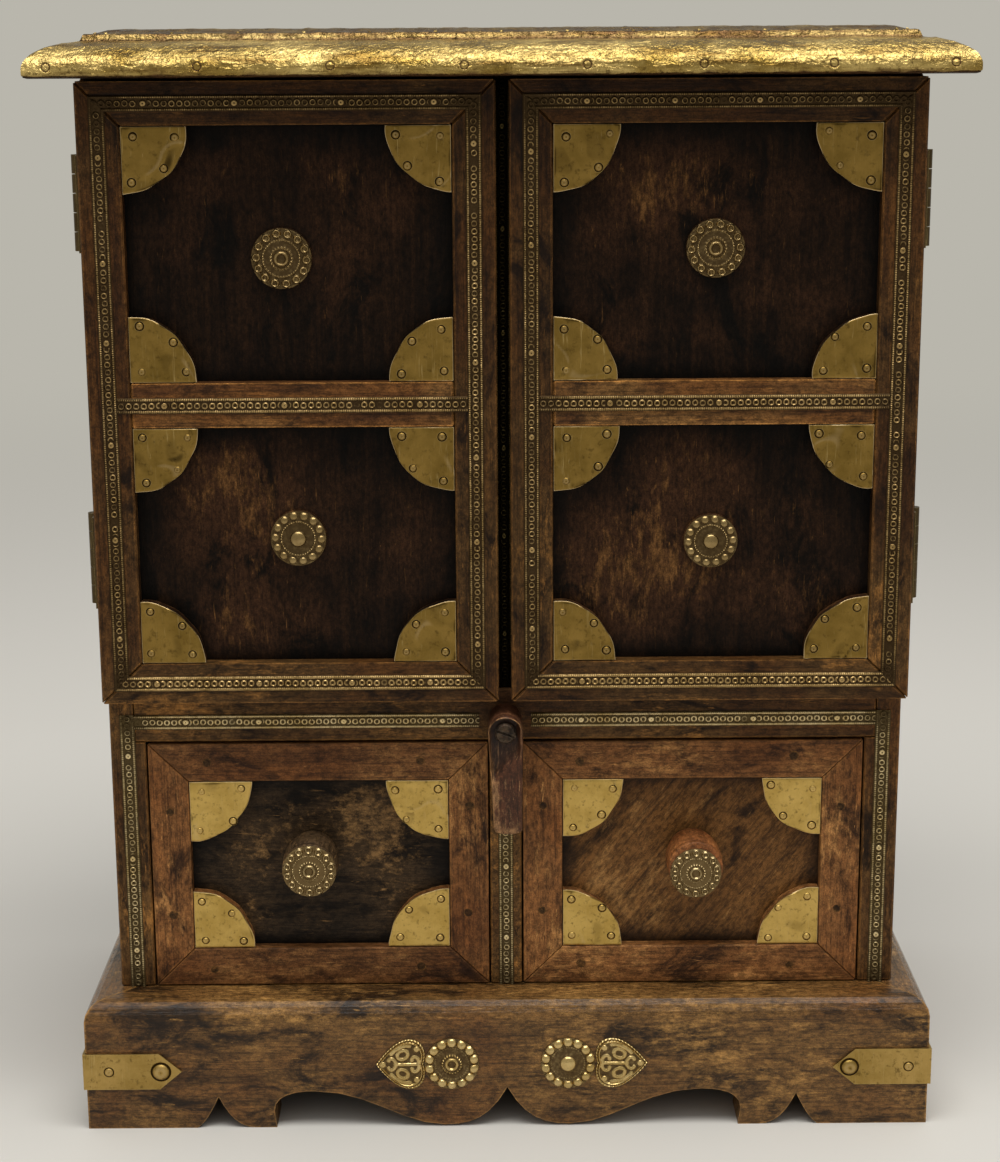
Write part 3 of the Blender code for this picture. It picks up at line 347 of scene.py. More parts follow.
# Turn button, drawn upright about its pivot
BUTTON_ROWS = np.concatenate([[0.0, 0.012, 0.035], np.linspace(0.07, 0.93, 40), [0.965, 0.988, 1.0]])
BUTTON_COLUMNS = np.concatenate([[-1.0, -0.95, -0.86], np.linspace(-0.74, 0.74, 15), [0.86, 0.95, 1.0]])
BUTTON_TIP = 46.0 * MM
BUTTON_TIP_BOW = 1.3 * MM
BUTTON_BOWED_FROM = 0.6 * BUTTON_TIP
BUTTON_RUBBED_FROM = 0.8 * BUTTON_TIP
BUTTON_TAIL = -7.9 * MM
BUTTON_TAIL_ROUND = 0.93
BUTTON_TIP_HALF_WIDTH = 6.4 * MM
BUTTON_BASE_HALF_WIDTH = 7.7 * MM
BUTTON_LEAN = -0.025
BUTTON_THICKNESS = 6.5 * MM
BUTTON_ALLOWANCE = 0.5 * MM
BUTTON_ROUND = 1.3 * MM
BUTTON_END_ROUND = 2.0 * MM
BUTTON_SCOOP_DEPTH = 3.5 * MM
BUTTON_SCOOP = (10.5 * MM, 18.5 * MM)
BUTTON_SCOOP_SLANT = -1.05
BUTTON_SCREW_SEAT = (5.2 * MM, 6.4 * MM)
BUTTON_RIM = (0.7 * MM, 2.4 * MM)
BUTTON_THIN_RIM = (0.5 * MM, 1.2 * MM)
BUTTON_POST_RADIUS = 7.4 * MM
BUTTON_POST_OVERLAP = 1.0 * MM
BUTTON_POST_COLUMNS = 40
BUTTON_SCOOP_GRIME = 0.75
BUTTON_SCOOP_SMOOTH = 0.6

# Wear of the button: depth, size, squeeze along the arm and seed of each kind of lump
BUTTON_WEAR = ((0.3 * MM, 4.0 * MM, 0.4, 5), (0.25 * MM, 9.0 * MM, 1.0, 6))
BUTTON_TIP_WEAR = (0.25 * MM, 2.2 * MM, 8)
BUTTON_TIP_RUB = (0.5, 1.2, 2.0 * MM, 9)

# Nails of the plinth straps, as x and radius in millimetres, and screws of the hinges
STRAP_NAILS = {"left": ((155.3, 4.5), (178.6, 2.3)), "right": ((153.5, 4.2), (180.0, 2.3))}
STRAP_NAIL_RISE = 0.34
STRAP_NAIL_COLUMNS = 28
STRAP_SIDE_NAIL_PLACES = (0.25, 0.75)
STRAP_SIDE_NAIL = (2.3 * MM, 0.8 * MM, 20)
HINGE_SCREW_PLACES = (0.18, 0.5, 0.82)
HINGE_SCREW_RADIUS = 1.8 * MM
HINGE_SCREW_HEIGHT = 0.5 * MM
HINGE_SCREW_INSET = 4.2 * MM
HINGE_LEAF_THICKNESS = 0.9 * MM
BOARD_EASE = 0.5 * MM

# Wood finishes: six tones, the noise where stains and rubbed places begin, strength of fibres and gloss
Wood = namedtuple("Wood", "deep body light tan worn stain stained rubbed fibres gloss")
WOODS = {
    "dark_wood": Wood("060402", "130b06", "27180d", "412919", "74502b", "080604", 0.5, 0.59, 0.3, 0.08),
    "frame_wood": Wood("1a0f07", "3c2412", "67421f", "664a28", "b07a3e", "1a0f08", 0.5, 0.6, 0.6, 0.13),
    "drawer_wood": Wood("2c190c", "5d371b", "8c562b", "8e5f35", "c48d52", "24150d", 0.505, 0.62, 0.6, 0.15),
    "plinth_wood": Wood("20130a", "4b3017", "7a5028", "79582f", "ac8046", "1a110b", 0.475, 0.62, 0.6, 0.28),
    "button_wood": Wood("180c07", "3a2114", "5a3520", "4e2e1c", "b4875a", "1c110b", 0.56, 0.6, 0.5, 0.25),
    "ebony_wood": Wood("0c0805", "1d160f", "34281b", "4a3824", "8f6c42", "0e0a07", 0.5, 0.58, 0.5, 0.12),
    "walnut_wood": Wood("28190c", "523418", "7a5329", "7a532a", "a07543", "21150c", 0.53, 0.63, 0.5, 0.15),
    "knob_wood": Wood("2c1609", "6b3c1e", "9a5c30", "a0683a", "cc9458", "3a2010", 0.6, 0.6, 0.5, 0.2),
}

# Noise in the woods: waves in a metre across and along the grain, detail, roughness and distortion
WOOD_NOISE = {
    "bands": (130.0, 9.0, 6.0, 0.66, 1.0),
    "fibres": (900.0, 26.0, 5.0, 0.66, 0.4),
    "flecks": (1500.0, 190.0, 3.0, 0.6, 0.0),
    "patches": (48.0, 24.0, 8.0, 0.68, 0.9),
    "rubbing": (260.0, 75.0, 9.0, 0.78, 0.0),
    "broad": (13.0, 13.0, 4.0, 0.6, 0.0),
    "scuffs": (850.0, 95.0, 4.0, 0.6, 0.8),
    "specks": (2600.0, 2600.0, 2.0, 0.55, 0.0),
    "mottle": (520.0, 300.0, 6.0, 0.75, 0.0),
}
SMEARS = {"ebony_wood": (190.0, 150.0, 9.0, 0.78, 0.0)}
SLANTED = {"walnut_wood": math.radians(52)}
# Painted light and shade: the woods are painted lighter towards the bottom and darker towards the top,
# between these heights in metres
LIT_LOW_HEIGHTS = (0.46, 0.1)
LIT_LOW = (-0.05, 0.07)
PANEL_WEAR = (-0.08, 0.015)
PANEL_BACK = (1.0 * MM, 3.0 * MM)
PANEL_BORDER_POWER = 3.0
MOTTLING = (0.58, 1.45)
SPECKLING = (0.72, 1.28)
WORN_EDGE = 1.2 * MM
WOOD_BUMP = 0.12 * MM
PLINTH_VARNISH = (0.049, 0.055)

# Painted light and shade: how much lighter or darker each kind of door frame member is painted than the
# others, darker on the top rails, bottom rails and stiles, lighter across the mid rails
MEMBER_PAINTED_LIGHT = {"mid_rail": 1.75, "top_rail": 0.66, "bottom_rail": 0.72, "meeting_stile": 0.66, "hinge_stile": 0.8}
KNOB_SHADES = {"left": 1.9, "right": 1.0}
KNOB_FINISHES = {"left": ("ebony_wood", "dark_wood"), "right": ("knob_wood", "drawer_wood")}
PANEL_FINISHES = {"left_drawer_front": "ebony_wood", "right_drawer_front": "walnut_wood"}

# Brass tones: dull metal, bright metal and the dirt in its hollows, which also paints the shade that the dirt
# values carry
BRASS = {
    # Painted shade and light: the door plates get a shaded copy of the plate brass, the drawer plates a lit
    # one
    "shaded_door_plate": ("7b622d", "977a3e", "261b0c"),
    "lit_drawer_plate": ("b4944c", "d4b367", "3a2a12"),
    "strap": ("9a7e42", "bb9c5c", "33250f"),
    "door_strip": ("93784a", "bd9f6c", "35271a"),
    # Painted light: a lit copy of the strip brass for the carcass strips
    "lit_carcass_strip": ("c2a872", "e8d2a2", "44351e"),
    # Painted shade: the strip in the door gap gets a shaded copy of the strip brass
    "shaded_hidden_strip": ("4a3e24", "5c5030", "120e08"),
    "hinge": ("463a26", "5e4e34", "1e160a"),
    "door_rosette": ("877048", "aa9264", "4a3a25"),
    "plinth_rosette": ("ba9e62", "ddc38a", "56432e"),
    "knob_rosette": ("94805a", "b09a70", "745f3e"),
}
SHEET_TONES = {"tarnish": "57431e", "scratch": "d8bf84", "edge": "dcc690", "rubbed": "d6bd92"}
STAMPED_TONES = {"tarnish": "5f4a28", "patch": "4a3a20"}
HAMMERED_TONES = {"dull": "94793a", "bright": "d8bd78", "streak": "64481f", "tarnish": "4c3a1a",
                  "dirt_and_shade": "563e2a"}
IRON_TONES = {"dark": "241d18", "light": "5a4a3a", "rust": "6a3c20", "edge": "8d8276"}
METAL_EDGE = 0.3 * MM


def linear(code):
    """Turn a colour written as six hexadecimal digits into linear red, green, blue and alpha."""
    shares = [int(code[start:start + 2], 16) / 255 for start in (0, 2, 4)]
    return tuple(s / 12.92 if s <= 0.04045 else ((s + 0.055) / 1.055) ** 2.4 for s in shares) + (1.0,)


class Nodes:
    """Short calls for the shader nodes of one tree."""

    def __init__(self, tree):
        self.tree = tree

    def add(self, kind, inputs=(), **settings):
        node = self.tree.nodes.new(kind)
        for setting, value in settings.items():
            setattr(node, setting, value)
        for socket, value in dict(inputs).items():
            self.feed(node.inputs[socket], value)
        return node

    def feed(self, socket, value):
        if isinstance(value, bpy.types.NodeSocket):
            self.tree.links.new(value, socket)
        else:
            socket.default_value = value

    def maths(self, operation, first, second=0.0):
        return self.add("ShaderNodeMath", {0: first, 1: second}, operation=operation).outputs[0]

    def plus(self, first, second):
        return self.maths("ADD", first, second)

    def less(self, first, second):
        return self.maths("SUBTRACT", first, second)

    def times(self, first, second):
        return self.maths("MULTIPLY", first, second)

    def step(self, value, low, high, bottom=0.0, top=1.0):
        inputs = {"Value": value, "From Min": low, "From Max": high, "To Min": bottom, "To Max": top}
        return self.add("ShaderNodeMapRange", inputs, interpolation_type="SMOOTHSTEP").outputs[0]

    def mix(self, factor, first, second):
        return self.add("ShaderNodeMix", {0: factor, 6: first, 7: second}, data_type="RGBA").outputs[2]

    def over(self, colour, code, value, low, high, share=1.0):
        """Lay a tone over a colour, from nothing where a value is low up to a share where it is high."""
        return self.mix(self.step(value, low, high, 0.0, share), colour, linear(code))

    def dirt_and_shade(self):
        return self.add("ShaderNodeAttribute", attribute_name="dirt_and_shade").outputs["Fac"]

    def seen(self):
        """1 where a ray comes from the camera, a reflection or a clear material, and 0 for plain light."""
        path = self.add("ShaderNodeLightPath").outputs
        shiny = self.maths("MAXIMUM", path["Is Glossy Ray"], path["Is Transmission Ray"])
        return self.maths("MAXIMUM", path["Is Camera Ray"], shiny)


class Shader(Nodes):
    """A material, and the patterns that its finish is made of."""

    def __init__(self, name):
        self.material = bpy.data.materials.new(name)
        self.material.use_nodes = True
        super().__init__(self.material.node_tree)
        self.surface = self.tree.nodes["Principled BSDF"]
        self.place = self.add("ShaderNodeTexCoord").outputs["Object"]

    def cloud(self, factors, detail=3.0, roughness=0.55, distortion=0.0):
        place = self.add("ShaderNodeVectorMath", {0: self.place, 1: factors}, operation="MULTIPLY").outputs[0]
        inputs = {"Vector": place, "Scale": 1.0, "Detail": detail, "Roughness": roughness,
                  "Distortion": distortion}
        return self.add("ShaderNodeTexNoise", inputs).outputs["Fac"]

    def even_cloud(self, waves, *looks):
        return self.cloud((waves, waves, waves), *looks)

    def border(self, sunk):
        """How near a front point is to the edge of its sunk panel: 0 in the middle, 1 at the edge.

        On the back of the board it is a half all over.
        """
        x, y, z = self.add("ShaderNodeSeparateXYZ", {0: self.place}).outputs
        nearest = 1.0
        for *spans, floor in sunk:
            total = 0.0
            for place, (low, high) in zip((x, z), spans):
                aside = self.less(place, 0.5 * (low + high))
                share = self.maths("ABSOLUTE", self.maths("DIVIDE", aside, 0.5 * (high - low)))
                total = self.plus(self.maths("POWER", share, PANEL_BORDER_POWER), total)
            nearest = self.maths("MINIMUM", total, nearest)
        behind = self.step(y, *(floor + depth for depth in PANEL_BACK))
        return self.plus(self.times(nearest, self.less(1.0, behind)), self.times(behind, 0.5))

    def edges(self, radius):
        """How far the rounded normal leans from the real one: about 1 at sharp edges, 0 elsewhere."""
        rounded = self.add("ShaderNodeBevel", {"Radius": radius}, samples=4).outputs[0]
        real = self.add("ShaderNodeNewGeometry").outputs["Normal"]
        match = self.add("ShaderNodeVectorMath", {0: rounded, 1: real}, operation="DOT_PRODUCT")
        return self.step(match.outputs["Value"], 0.995, 0.8)

    def finish(self, colour, rough, bump, height, metallic=0.0, specular=0.5):
        self.feed(self.surface.inputs["Base Color"], colour)
        self.feed(self.surface.inputs["Roughness"], rough)
        self.surface.inputs["Metallic"].default_value = metallic
        self.surface.inputs["Specular IOR Level"].default_value = specular
        normal = self.add("ShaderNodeBump", {"Strength": 1.0, "Distance": bump, "Height": height})
        self.feed(self.surface.inputs["Normal"], normal.outputs[0])
        return self.material


def along(axis, fine, coarse):
    """Scale factors that stretch a pattern along one axis, given as its number."""
    return tuple(coarse if number == axis else fine for number in range(3))


@functools.cache
def wood(finish, axis, tint=1.0, sunk=()):
    """Old polished wood with its grain along one axis, flecks, stains, rubbed places and worn edges.

    The borders of the sunk panels are darker, each given by its edges in x and z and its floor.
    """
    kind = WOODS[finish]
    shader = Shader(f"{finish}_{'xyz'[axis]}_{round(100 * tint)}{'_panel' if sunk else ''}")
    border = shader.border(sunk) if sunk else None
    height = shader.add("ShaderNodeSeparateXYZ", {0: shader.place}).outputs["Z"]
    # Painted light: lighter low down and darker high up
    end_grime_and_lit_low = shader.step(height, *LIT_LOW_HEIGHTS, *LIT_LOW)
    if finish in SLANTED:
        turned = {"Vector": shader.place, "Axis": (0.0, 1.0, 0.0), "Angle": SLANTED[finish]}
        shader.place = shader.add("ShaderNodeVectorRotate", turned).outputs[0]
    rows = {**WOOD_NOISE, "rubbing": SMEARS.get(finish, WOOD_NOISE["rubbing"])}
    bands, fibres, flecks, patches, rubbing, broad, scuffs, specks, mottle = (
        shader.cloud(along(axis, *row[:2]), *row[2:]) for row in rows.values())
    wide = shader.plus(broad, end_grime_and_lit_low)
    if sunk:
        wide = shader.plus(wide, shader.step(border, 0.9, 0.2, *PANEL_WEAR))
    colour = shader.over(linear(kind.body), kind.light, bands, 0.34, 0.68)
    colour = shader.over(colour, kind.tan, wide, 0.4, 0.62, 0.75)
    colour = shader.over(colour, kind.deep, fibres, 0.54, 0.32, kind.fibres)
    colour = shader.over(colour, kind.deep, flecks, 0.42, 0.3, 0.6)
    colour = shader.over(colour, kind.stain, patches, kind.stained, kind.stained + 0.15, 0.9)
    smears = shader.plus(rubbing, shader.less(wide, 0.5))
    colour = shader.over(colour, kind.worn, smears, kind.rubbed, kind.rubbed + 0.22, 0.8)
    scuffed = shader.times(shader.step(scuffs, 0.63, 0.72), shader.step(wide, 0.4, 0.6, 0.1, 0.8))
    colour = shader.mix(scuffed, colour, linear(kind.worn))
    wear = shader.times(shader.edges(WORN_EDGE), shader.step(rubbing, 0.33, 0.57))
    wear = shader.maths("MAXIMUM", wear, shader.step(shader.dirt_and_shade(), -0.1, -1.0, 0.0, 0.6))
    colour = shader.mix(wear, colour, linear(kind.worn))
    colour = shader.over(colour, kind.stain, shader.dirt_and_shade(), 0.1, 1.0, 0.75)
    if sunk:
        # Darker towards the borders of the sunk panels
        darker_border = shader.plus(border, shader.less(patches, 0.5))
        colour = shader.over(colour, kind.stain, darker_border, 0.55, 1.05, 0.85)
    # The tint scales the whole wood; on the door frame members it is painted light and shade
    speckled = shader.step(specks, 0.3, 0.7, *(tint * share for share in SPECKLING))
    shade = shader.times(speckled, shader.step(mottle, 0.36, 0.64, *MOTTLING))
    colour = shader.add("ShaderNodeVectorMath", {0: colour, "Scale": shade}, operation="SCALE").outputs[0]
    rough = shader.step(shader.plus(flecks, patches), 0.75, 1.3, 0.3, 0.58)
    if finish == "plinth_wood":
        rough = shader.times(rough, shader.step(height, *PLINTH_VARNISH, 1.0, 0.5))
    relief = shader.plus(shader.plus(fibres, flecks), specks)
    return shader.finish(colour, rough, WOOD_BUMP, relief, specular=kind.gloss)


@functools.cache
def sheet_brass(tone="strap"):
    """Dull brass sheet with brown tarnish and scratches, and paler where it is rubbed and where a highlight
    is painted.
    """
    dull, bright, dirty_and_shaded = BRASS[tone]
    shader = Shader(f"sheet_brass_{tone}")
    clouds = shader.even_cloud(60.0, 6.0, 0.68)
    specks = shader.even_cloud(420.0, 4.0, 0.65)
    scratches = shader.cloud((1100.0, 1100.0, 60.0), distortion=1.2)
    hollow_and_shade = shader.dirt_and_shade()
    colour = shader.over(linear(dull), bright, clouds, 0.3, 0.7)
    colour = shader.over(colour, SHEET_TONES["tarnish"], specks, 0.53, 0.72, 0.65)
    colour = shader.over(colour, SHEET_TONES["scratch"], scratches, 0.6, 0.75, 0.35)
    colour = shader.mix(shader.times(shader.edges(METAL_EDGE), 0.5), colour, linear(SHEET_TONES["edge"]))
    # Paler where rubbed, and where a highlight is painted on plate rims and fold crests
    colour = shader.over(colour, SHEET_TONES["rubbed"], hollow_and_shade, -0.1, -1.0, 0.8)
    colour = shader.over(colour, dirty_and_shaded, hollow_and_shade, 0.3, 0.9)
    relief = shader.plus(clouds, scratches)
    return shader.finish(colour, shader.step(relief, 0.7, 1.3, 0.34, 0.52), 0.07 * MM, relief, metallic=1.0)


@functools.cache
def stamped_brass(tone):
    """Stamped brass with dirt in its hollows, painted light and shade from the dirt values, and tarnish in
    patches.
    """
    dull, bright, dirty_and_shaded = BRASS[tone]
    shader = Shader(f"stamped_brass_{tone}")
    clouds = shader.even_cloud(75.0, 6.0, 0.68)
    specks = shader.even_cloud(700.0, 3.0, 0.6)
    colour = shader.over(linear(dull), bright, clouds, 0.3, 0.7)
    colour = shader.over(colour, STAMPED_TONES["tarnish"], specks, 0.55, 0.75, 0.5)
    hollow_and_shade = shader.plus(shader.dirt_and_shade(), shader.step(specks, 0.3, 0.7, -0.12, 0.12))
    # Dirt in the hollows, and the painted light and shade that the dirt values carry
    colour = shader.over(colour, dirty_and_shaded, hollow_and_shade, 0.3, 0.95, 0.92)
    colour = shader.over(colour, STAMPED_TONES["patch"], clouds, 0.58, 0.74, 0.5)
    return shader.finish(colour, shader.step(hollow_and_shade, 0.1, 0.9, 0.27, 0.6), 0.06 * MM, specks, metallic=1.0)


@functools.cache
def hammered_brass():
    """Bright hammered brass sheet with brown streaks, tarnish in its dents and small dings."""
    shader = Shader("hammered_brass")
    clouds = shader.cloud((24.0, 30.0, 60.0), 6.0, 0.68, 0.6)
    streaks = shader.cloud((30.0, 80.0, 420.0), 6.0, 0.68)
    specks = shader.even_cloud(520.0, 4.0, 0.65)
    strokes = shader.cloud((420.0, 420.0, 120.0), distortion=0.8)
    creases = shader.cloud((130.0, 130.0, 260.0), distortion=1.5)
    colour = shader.over(linear(HAMMERED_TONES["dull"]), HAMMERED_TONES["bright"], clouds, 0.32, 0.68)
    colour = shader.over(colour, HAMMERED_TONES["streak"], streaks, 0.46, 0.66, 0.8)
    colour = shader.over(colour, HAMMERED_TONES["tarnish"], specks, 0.54, 0.7, 0.75)
    colour = shader.over(colour, HAMMERED_TONES["dirt_and_shade"], shader.dirt_and_shade(), 0.15, 1.0, 0.9)
    rough = shader.step(shader.plus(clouds, specks), 0.75, 1.3, 0.22, 0.48)
    relief = shader.plus(shader.plus(strokes, shader.times(specks, 0.4)), creases)
    return shader.finish(colour, rough, 0.9 * MM, relief, metallic=1.0)


@functools.cache
def dark_iron():
    """Old iron, dark brown, with specks of rust and rubbed edges."""
    shader = Shader("dark_iron")
    clouds = shader.even_cloud(300.0, 5.0, 0.65)
    specks = shader.even_cloud(1600.0)
    colour = shader.over(linear(IRON_TONES["dark"]), IRON_TONES["light"], clouds, 0.35, 0.65)
    colour = shader.over(colour, IRON_TONES["rust"], specks, 0.58, 0.75, 0.7)
    colour = shader.mix(shader.times(shader.edges(METAL_EDGE), 0.5), colour, linear(IRON_TONES["edge"]))
    rough = shader.step(specks, 0.3, 0.7, 0.42, 0.66)
    return shader.finish(colour, rough, 0.05 * MM, shader.plus(clouds, specks), metallic=0.8)


METALS = {"bright_brass": hammered_brass, "aged_brass": sheet_brass, "dark_iron": dark_iron}


def smooth(value, low, high):
    share = np.clip((value - low) / (high - low), 0.0, 1.0)
    return share * share * (3.0 - 2.0 * share)


def ridge(distance, half_width):
    """A rounded ridge: 1 on its crest and 0 from half its width on."""
    return np.clip(1.0 - (distance / half_width) ** 2, 0.0, None)


def ring_ridge(reach, ring):
    """A ridge round a middle, given by its place and half width."""
    place, half_width = ring
    return ridge(reach - place, half_width)


def beaded(turns, depth):
    """Heights along a line of beads, 1 at the top of each."""
    return 1.0 - depth + depth * np.cos(turns)


def grid_shape(x, y, z, dirt_and_shade):
    """A closed shape: a grid of top points, walls down from its rim to level 0, and a bottom."""
    rows, columns = z.shape
    number = np.arange(rows * columns).reshape(rows, columns)
    quads = np.stack([number[:-1, :-1], number[:-1, 1:], number[1:, 1:], number[1:, :-1]], axis=-1)
    rim = np.concatenate([number[0, :-1], number[:-1, -1], number[-1, :0:-1], number[:0:-1, 0]])
    foot = rows * columns + np.arange(len(rim))
    walls = np.stack([rim, foot, np.roll(foot, -1), np.roll(rim, -1)], axis=-1)
    flat = np.stack([x, y, z], axis=-1).reshape(-1, 3)
    feet = flat[rim] * (1.0, 1.0, 0.0)
    faces = quads.reshape(-1, 4).tolist() + walls.tolist() + [foot[::-1].tolist()]
    return np.concatenate([flat, feet]), faces, np.concatenate([dirt_and_shade.reshape(-1), np.zeros(len(rim))])


def turned_shape(outline, shares, heights, dirt_and_shade):
    """A closed shape of rings: each row of heights stands on the outline drawn in to that row's share.

    The first row is the middle point, and the last row closes the bottom.
    """
    rows, columns = heights.shape
    rings = np.concatenate([outline[None] * shares[1:, None, None], heights[1:, :, None]], axis=-1)
    points = np.concatenate([[(0.0, 0.0, heights[0, 0])], rings.reshape(-1, 3)])
    number = 1 + np.arange((rows - 1) * columns).reshape(rows - 1, columns)
    turn = np.roll(number, -1, axis=1)
    faces = [[0, first, second] for first, second in zip(number[0].tolist(), turn[0].tolist())]
    faces += np.stack([number[:-1], number[1:], turn[1:], turn[:-1]], axis=-1).reshape(-1, 4).tolist()
    faces.append(number[-1][::-1].tolist())
    return points, faces, np.concatenate([dirt_and_shade[0, :1], dirt_and_shade[1:].reshape(-1)])


def stamping(outline, shares, heights, dirt_and_shade):
    """A turned shape with a flat, dirty bottom at level 0."""
    columns = len(outline)
    heights = np.concatenate([heights, np.zeros((1, columns))])
    dirt_and_shade = np.concatenate([dirt_and_shade, np.ones((1, columns))])
    return turned_shape(outline, np.append(shares, 1.0), heights, dirt_and_shade)


def circle(radius, columns):
    angles = np.linspace(0.0, math.tau, columns, endpoint=False)
    return radius * np.stack([np.cos(angles), np.sin(angles)], axis=-1)


def lathe(profile, columns, radius=1.0, height=1.0):
    """A round shape from a turned profile, whose rows are shares of the radius and height."""
    radii, levels, dirt_and_shade = np.array(profile).T
    spread = np.ones((1, columns))
    heights = height * levels[:, None] * spread
    return turned_shape(circle(1.0, columns), radius * radii, heights, dirt_and_shade[:, None] * spread)


def pin(radius, height, columns=16):
    """A pin head: a low dome with a small pit and a painted shadow as a dark line round its foot."""
    return lathe(PIN_PROFILE, columns, radius, height)


def nail(radius, height, columns=24):
    """A nail driven into soft sheet: a dome in a dark groove with a raised lip of metal round it."""
    return lathe(NAIL_PROFILE, columns, radius, height)


def prism_shape(outline, height):
    """An outline of x and y points, drawn up to a height."""
    count = len(outline)
    points = np.array([(x, y, z) for z in (0.0, height) for x, y in outline])
    faces = [list(range(count))[::-1], list(range(count, 2 * count))]
    faces += [[n, (n + 1) % count, count + (n + 1) % count, count + n] for n in range(count)]
    return points, faces, np.zeros(2 * count)


def soiled(shape, grime_and_shade):
    """The shape with grime added to its dirt; on strip pins that grime is painted light and shade."""
    points, faces, dirt_and_shade = shape
    return points, faces, dirt_and_shade + grime_and_shade


def lumps(points, size, seed):
    """Smooth noise from -1 to 1 at each point, for bumps of about the given size."""
    shift = Vector((seed * 7.3, seed * 3.1, seed * 5.7))
    values = [noise.noise(Vector(point) / size + shift) for point in points.reshape(-1, 3)]
    return np.array(values).reshape(points.shape[:-1])


def front(x, y, z):
    """Stand a shape drawn flat on a face that looks to the front, with its origin at a point."""
    return Matrix.Translation((x, y, z)) @ Matrix.Rotation(math.radians(90), 4, "X")


def facing(place, normal):
    """Stand a round shape on a face with the given normal."""
    return Matrix.Translation(place) @ Vector(normal).to_track_quat("Z", "Y").to_matrix().to_4x4()


def centre(node):
    """The middle of a node's box."""
    return [0.5 * (low + high) for low, high in zip(*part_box(node))]


class Form:
    """Closed shapes gathered into one mesh, with a value at every point for dirt and wear, and for painted
    light and shade.
    """

    def __init__(self):
        self.points = []
        self.faces = []
        self.dirt_and_shade = []

    def add(self, shape, stand=None):
        points, faces, dirt_and_shade = shape
        if stand is not None:
            turn = np.array(stand)
            points = points @ turn[:3, :3].T + turn[:3, 3]
        start = sum(len(block) for block in self.points)
        self.points.append(points)
        self.dirt_and_shade.append(dirt_and_shade)
        self.faces += [[start + corner for corner in face] for face in faces]

    def add_all(self, shapes, stand):
        """Add shapes that each come with a place on the stand."""
        for shape, place in shapes:
            self.add(shape, stand @ place)

    def piece(self, name, body, material, slot, replaces=(), sharp=SHARP_ANGLE):
        """Make the piece, ride it on its body and hide the frame parts that it replaces."""
        mesh = bpy.data.meshes.new(name)
        mesh.from_pydata(np.concatenate(self.points).tolist(), [], self.faces)
        faces = bmesh.new()
        faces.from_mesh(mesh)
        bmesh.ops.recalc_face_normals(faces, faces=faces.faces)
        faces.to_mesh(mesh)
        faces.free()
        values = mesh.attributes.new("dirt_and_shade", "FLOAT", "POINT")
        values.data.foreach_set("value", np.concatenate(self.dirt_and_shade).astype(np.float32))
        mesh.shade_smooth()
        mesh.set_sharp_from_angle(angle=math.radians(sharp))
        mesh.materials.append(material)
        made = bpy.data.objects.new(name, mesh)
        bpy.context.scene.collection.objects.link(made)
        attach(made, body)
        if replaces:
            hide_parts(*replaces)
        return made


def single(shape, stand, *labels):
    """Make a piece of one shape."""
    form = Form()
    form.add(shape, stand)
    return form.piece(*labels)


def ease(piece, width):
    """Round a piece's sharp edges."""
    bevel = piece.modifiers.new("eased edges", "BEVEL")
    bevel.width = width
    bevel.segments = 2
    bevel.limit_method = "ANGLE"
    bevel.angle_limit = EASED_ANGLE


def bead_strip(length, mitre, seed, grime_and_shade):
    """A stamped strip along x and its pins, as closed shapes with their places.

    Its ends are square where the mitre is 0, and cut at 45 degrees where it is 1.
    """
    columns = np.concatenate([-STRIP_COLUMNS[:0:-1], STRIP_COLUMNS])
    rows = round(length / RING_PITCH * RING_STEPS) + 1
    ends = np.linspace(0.0, 1.0, rows)[:, None]
    u = mitre * columns + ends * (length - 2 * mitre * columns)
    v = np.repeat(columns[None], rows, axis=0)
    rings = np.floor(u / RING_PITCH)
    draw = random.Random(seed)
    count = int(length / RING_PITCH) + 3
    shift = np.array([draw.uniform(-RING_SHIFT, RING_SHIFT) for _ in range(count)])
    worn = np.array([draw.uniform(*RING_HEIGHTS) if draw.random() < RING_WHOLE_SHARE else RING_WORN_HEIGHT
                     for _ in range(count)])
    which = np.clip(rings.astype(int) + 1, 0, count - 1)
    reach = np.hypot(u - (rings + 0.5) * RING_PITCH, v - shift[which])
    ring = worn[which] * ridge(reach - RING_CREST_RADIUS, RING_HALF_WIDTH)
    beads = beaded(math.tau * BEADS_PER_RING * u / RING_PITCH, BEAD_DEPTH)
    lines = beads * ridge(np.abs(v) - BEAD_LINE_PLACE, BEAD_LINE_HALF_WIDTH)
    pins = max(1, round(length / STRIP_PIN_SPACING))
    places = [length * (number + 0.5 + draw.uniform(-STRIP_PIN_SHIFT, STRIP_PIN_SHIFT)) / pins
              for number in range(pins)]
    for place in places:
        ring = ring * smooth(np.hypot(u - place, v), *STRIP_PIN_CLEARING)
    relief = np.maximum(ring, lines)
    end_grime_and_lit_low = STRIP_END_GRIME * (1.0 - smooth(np.minimum(u, length - u), 0.0, STRIP_END_REACH))
    # The added grime is painted light and shade over the whole strip and its pins
    strip = grid_shape(u, v, STRIP_FLOOR + STRIP_CREST * relief, 1.0 + grime_and_shade + end_grime_and_lit_low - relief)
    head = soiled(pin(STRIP_PIN_RADIUS, STRIP_PIN_HEIGHT), grime_and_shade + STRIP_PIN_GRIME)
    return [(strip, Matrix())] + [(head, Matrix.Translation((place, 0.0, STRIP_FLOOR))) for place in places]


def add_strip(form, start, end, level, mitre, seed, grime_and_shade):
    """Add the strip whose centre line runs between two points, given as x and z, on a front face."""
    run = Vector(end) - Vector(start)
    stand = front(start[0], level, start[1]) @ Matrix.Rotation(math.atan2(run.y, run.x), 4, "Z")
    form.add_all(bead_strip(run.length, mitre, seed, grime_and_shade), stand)


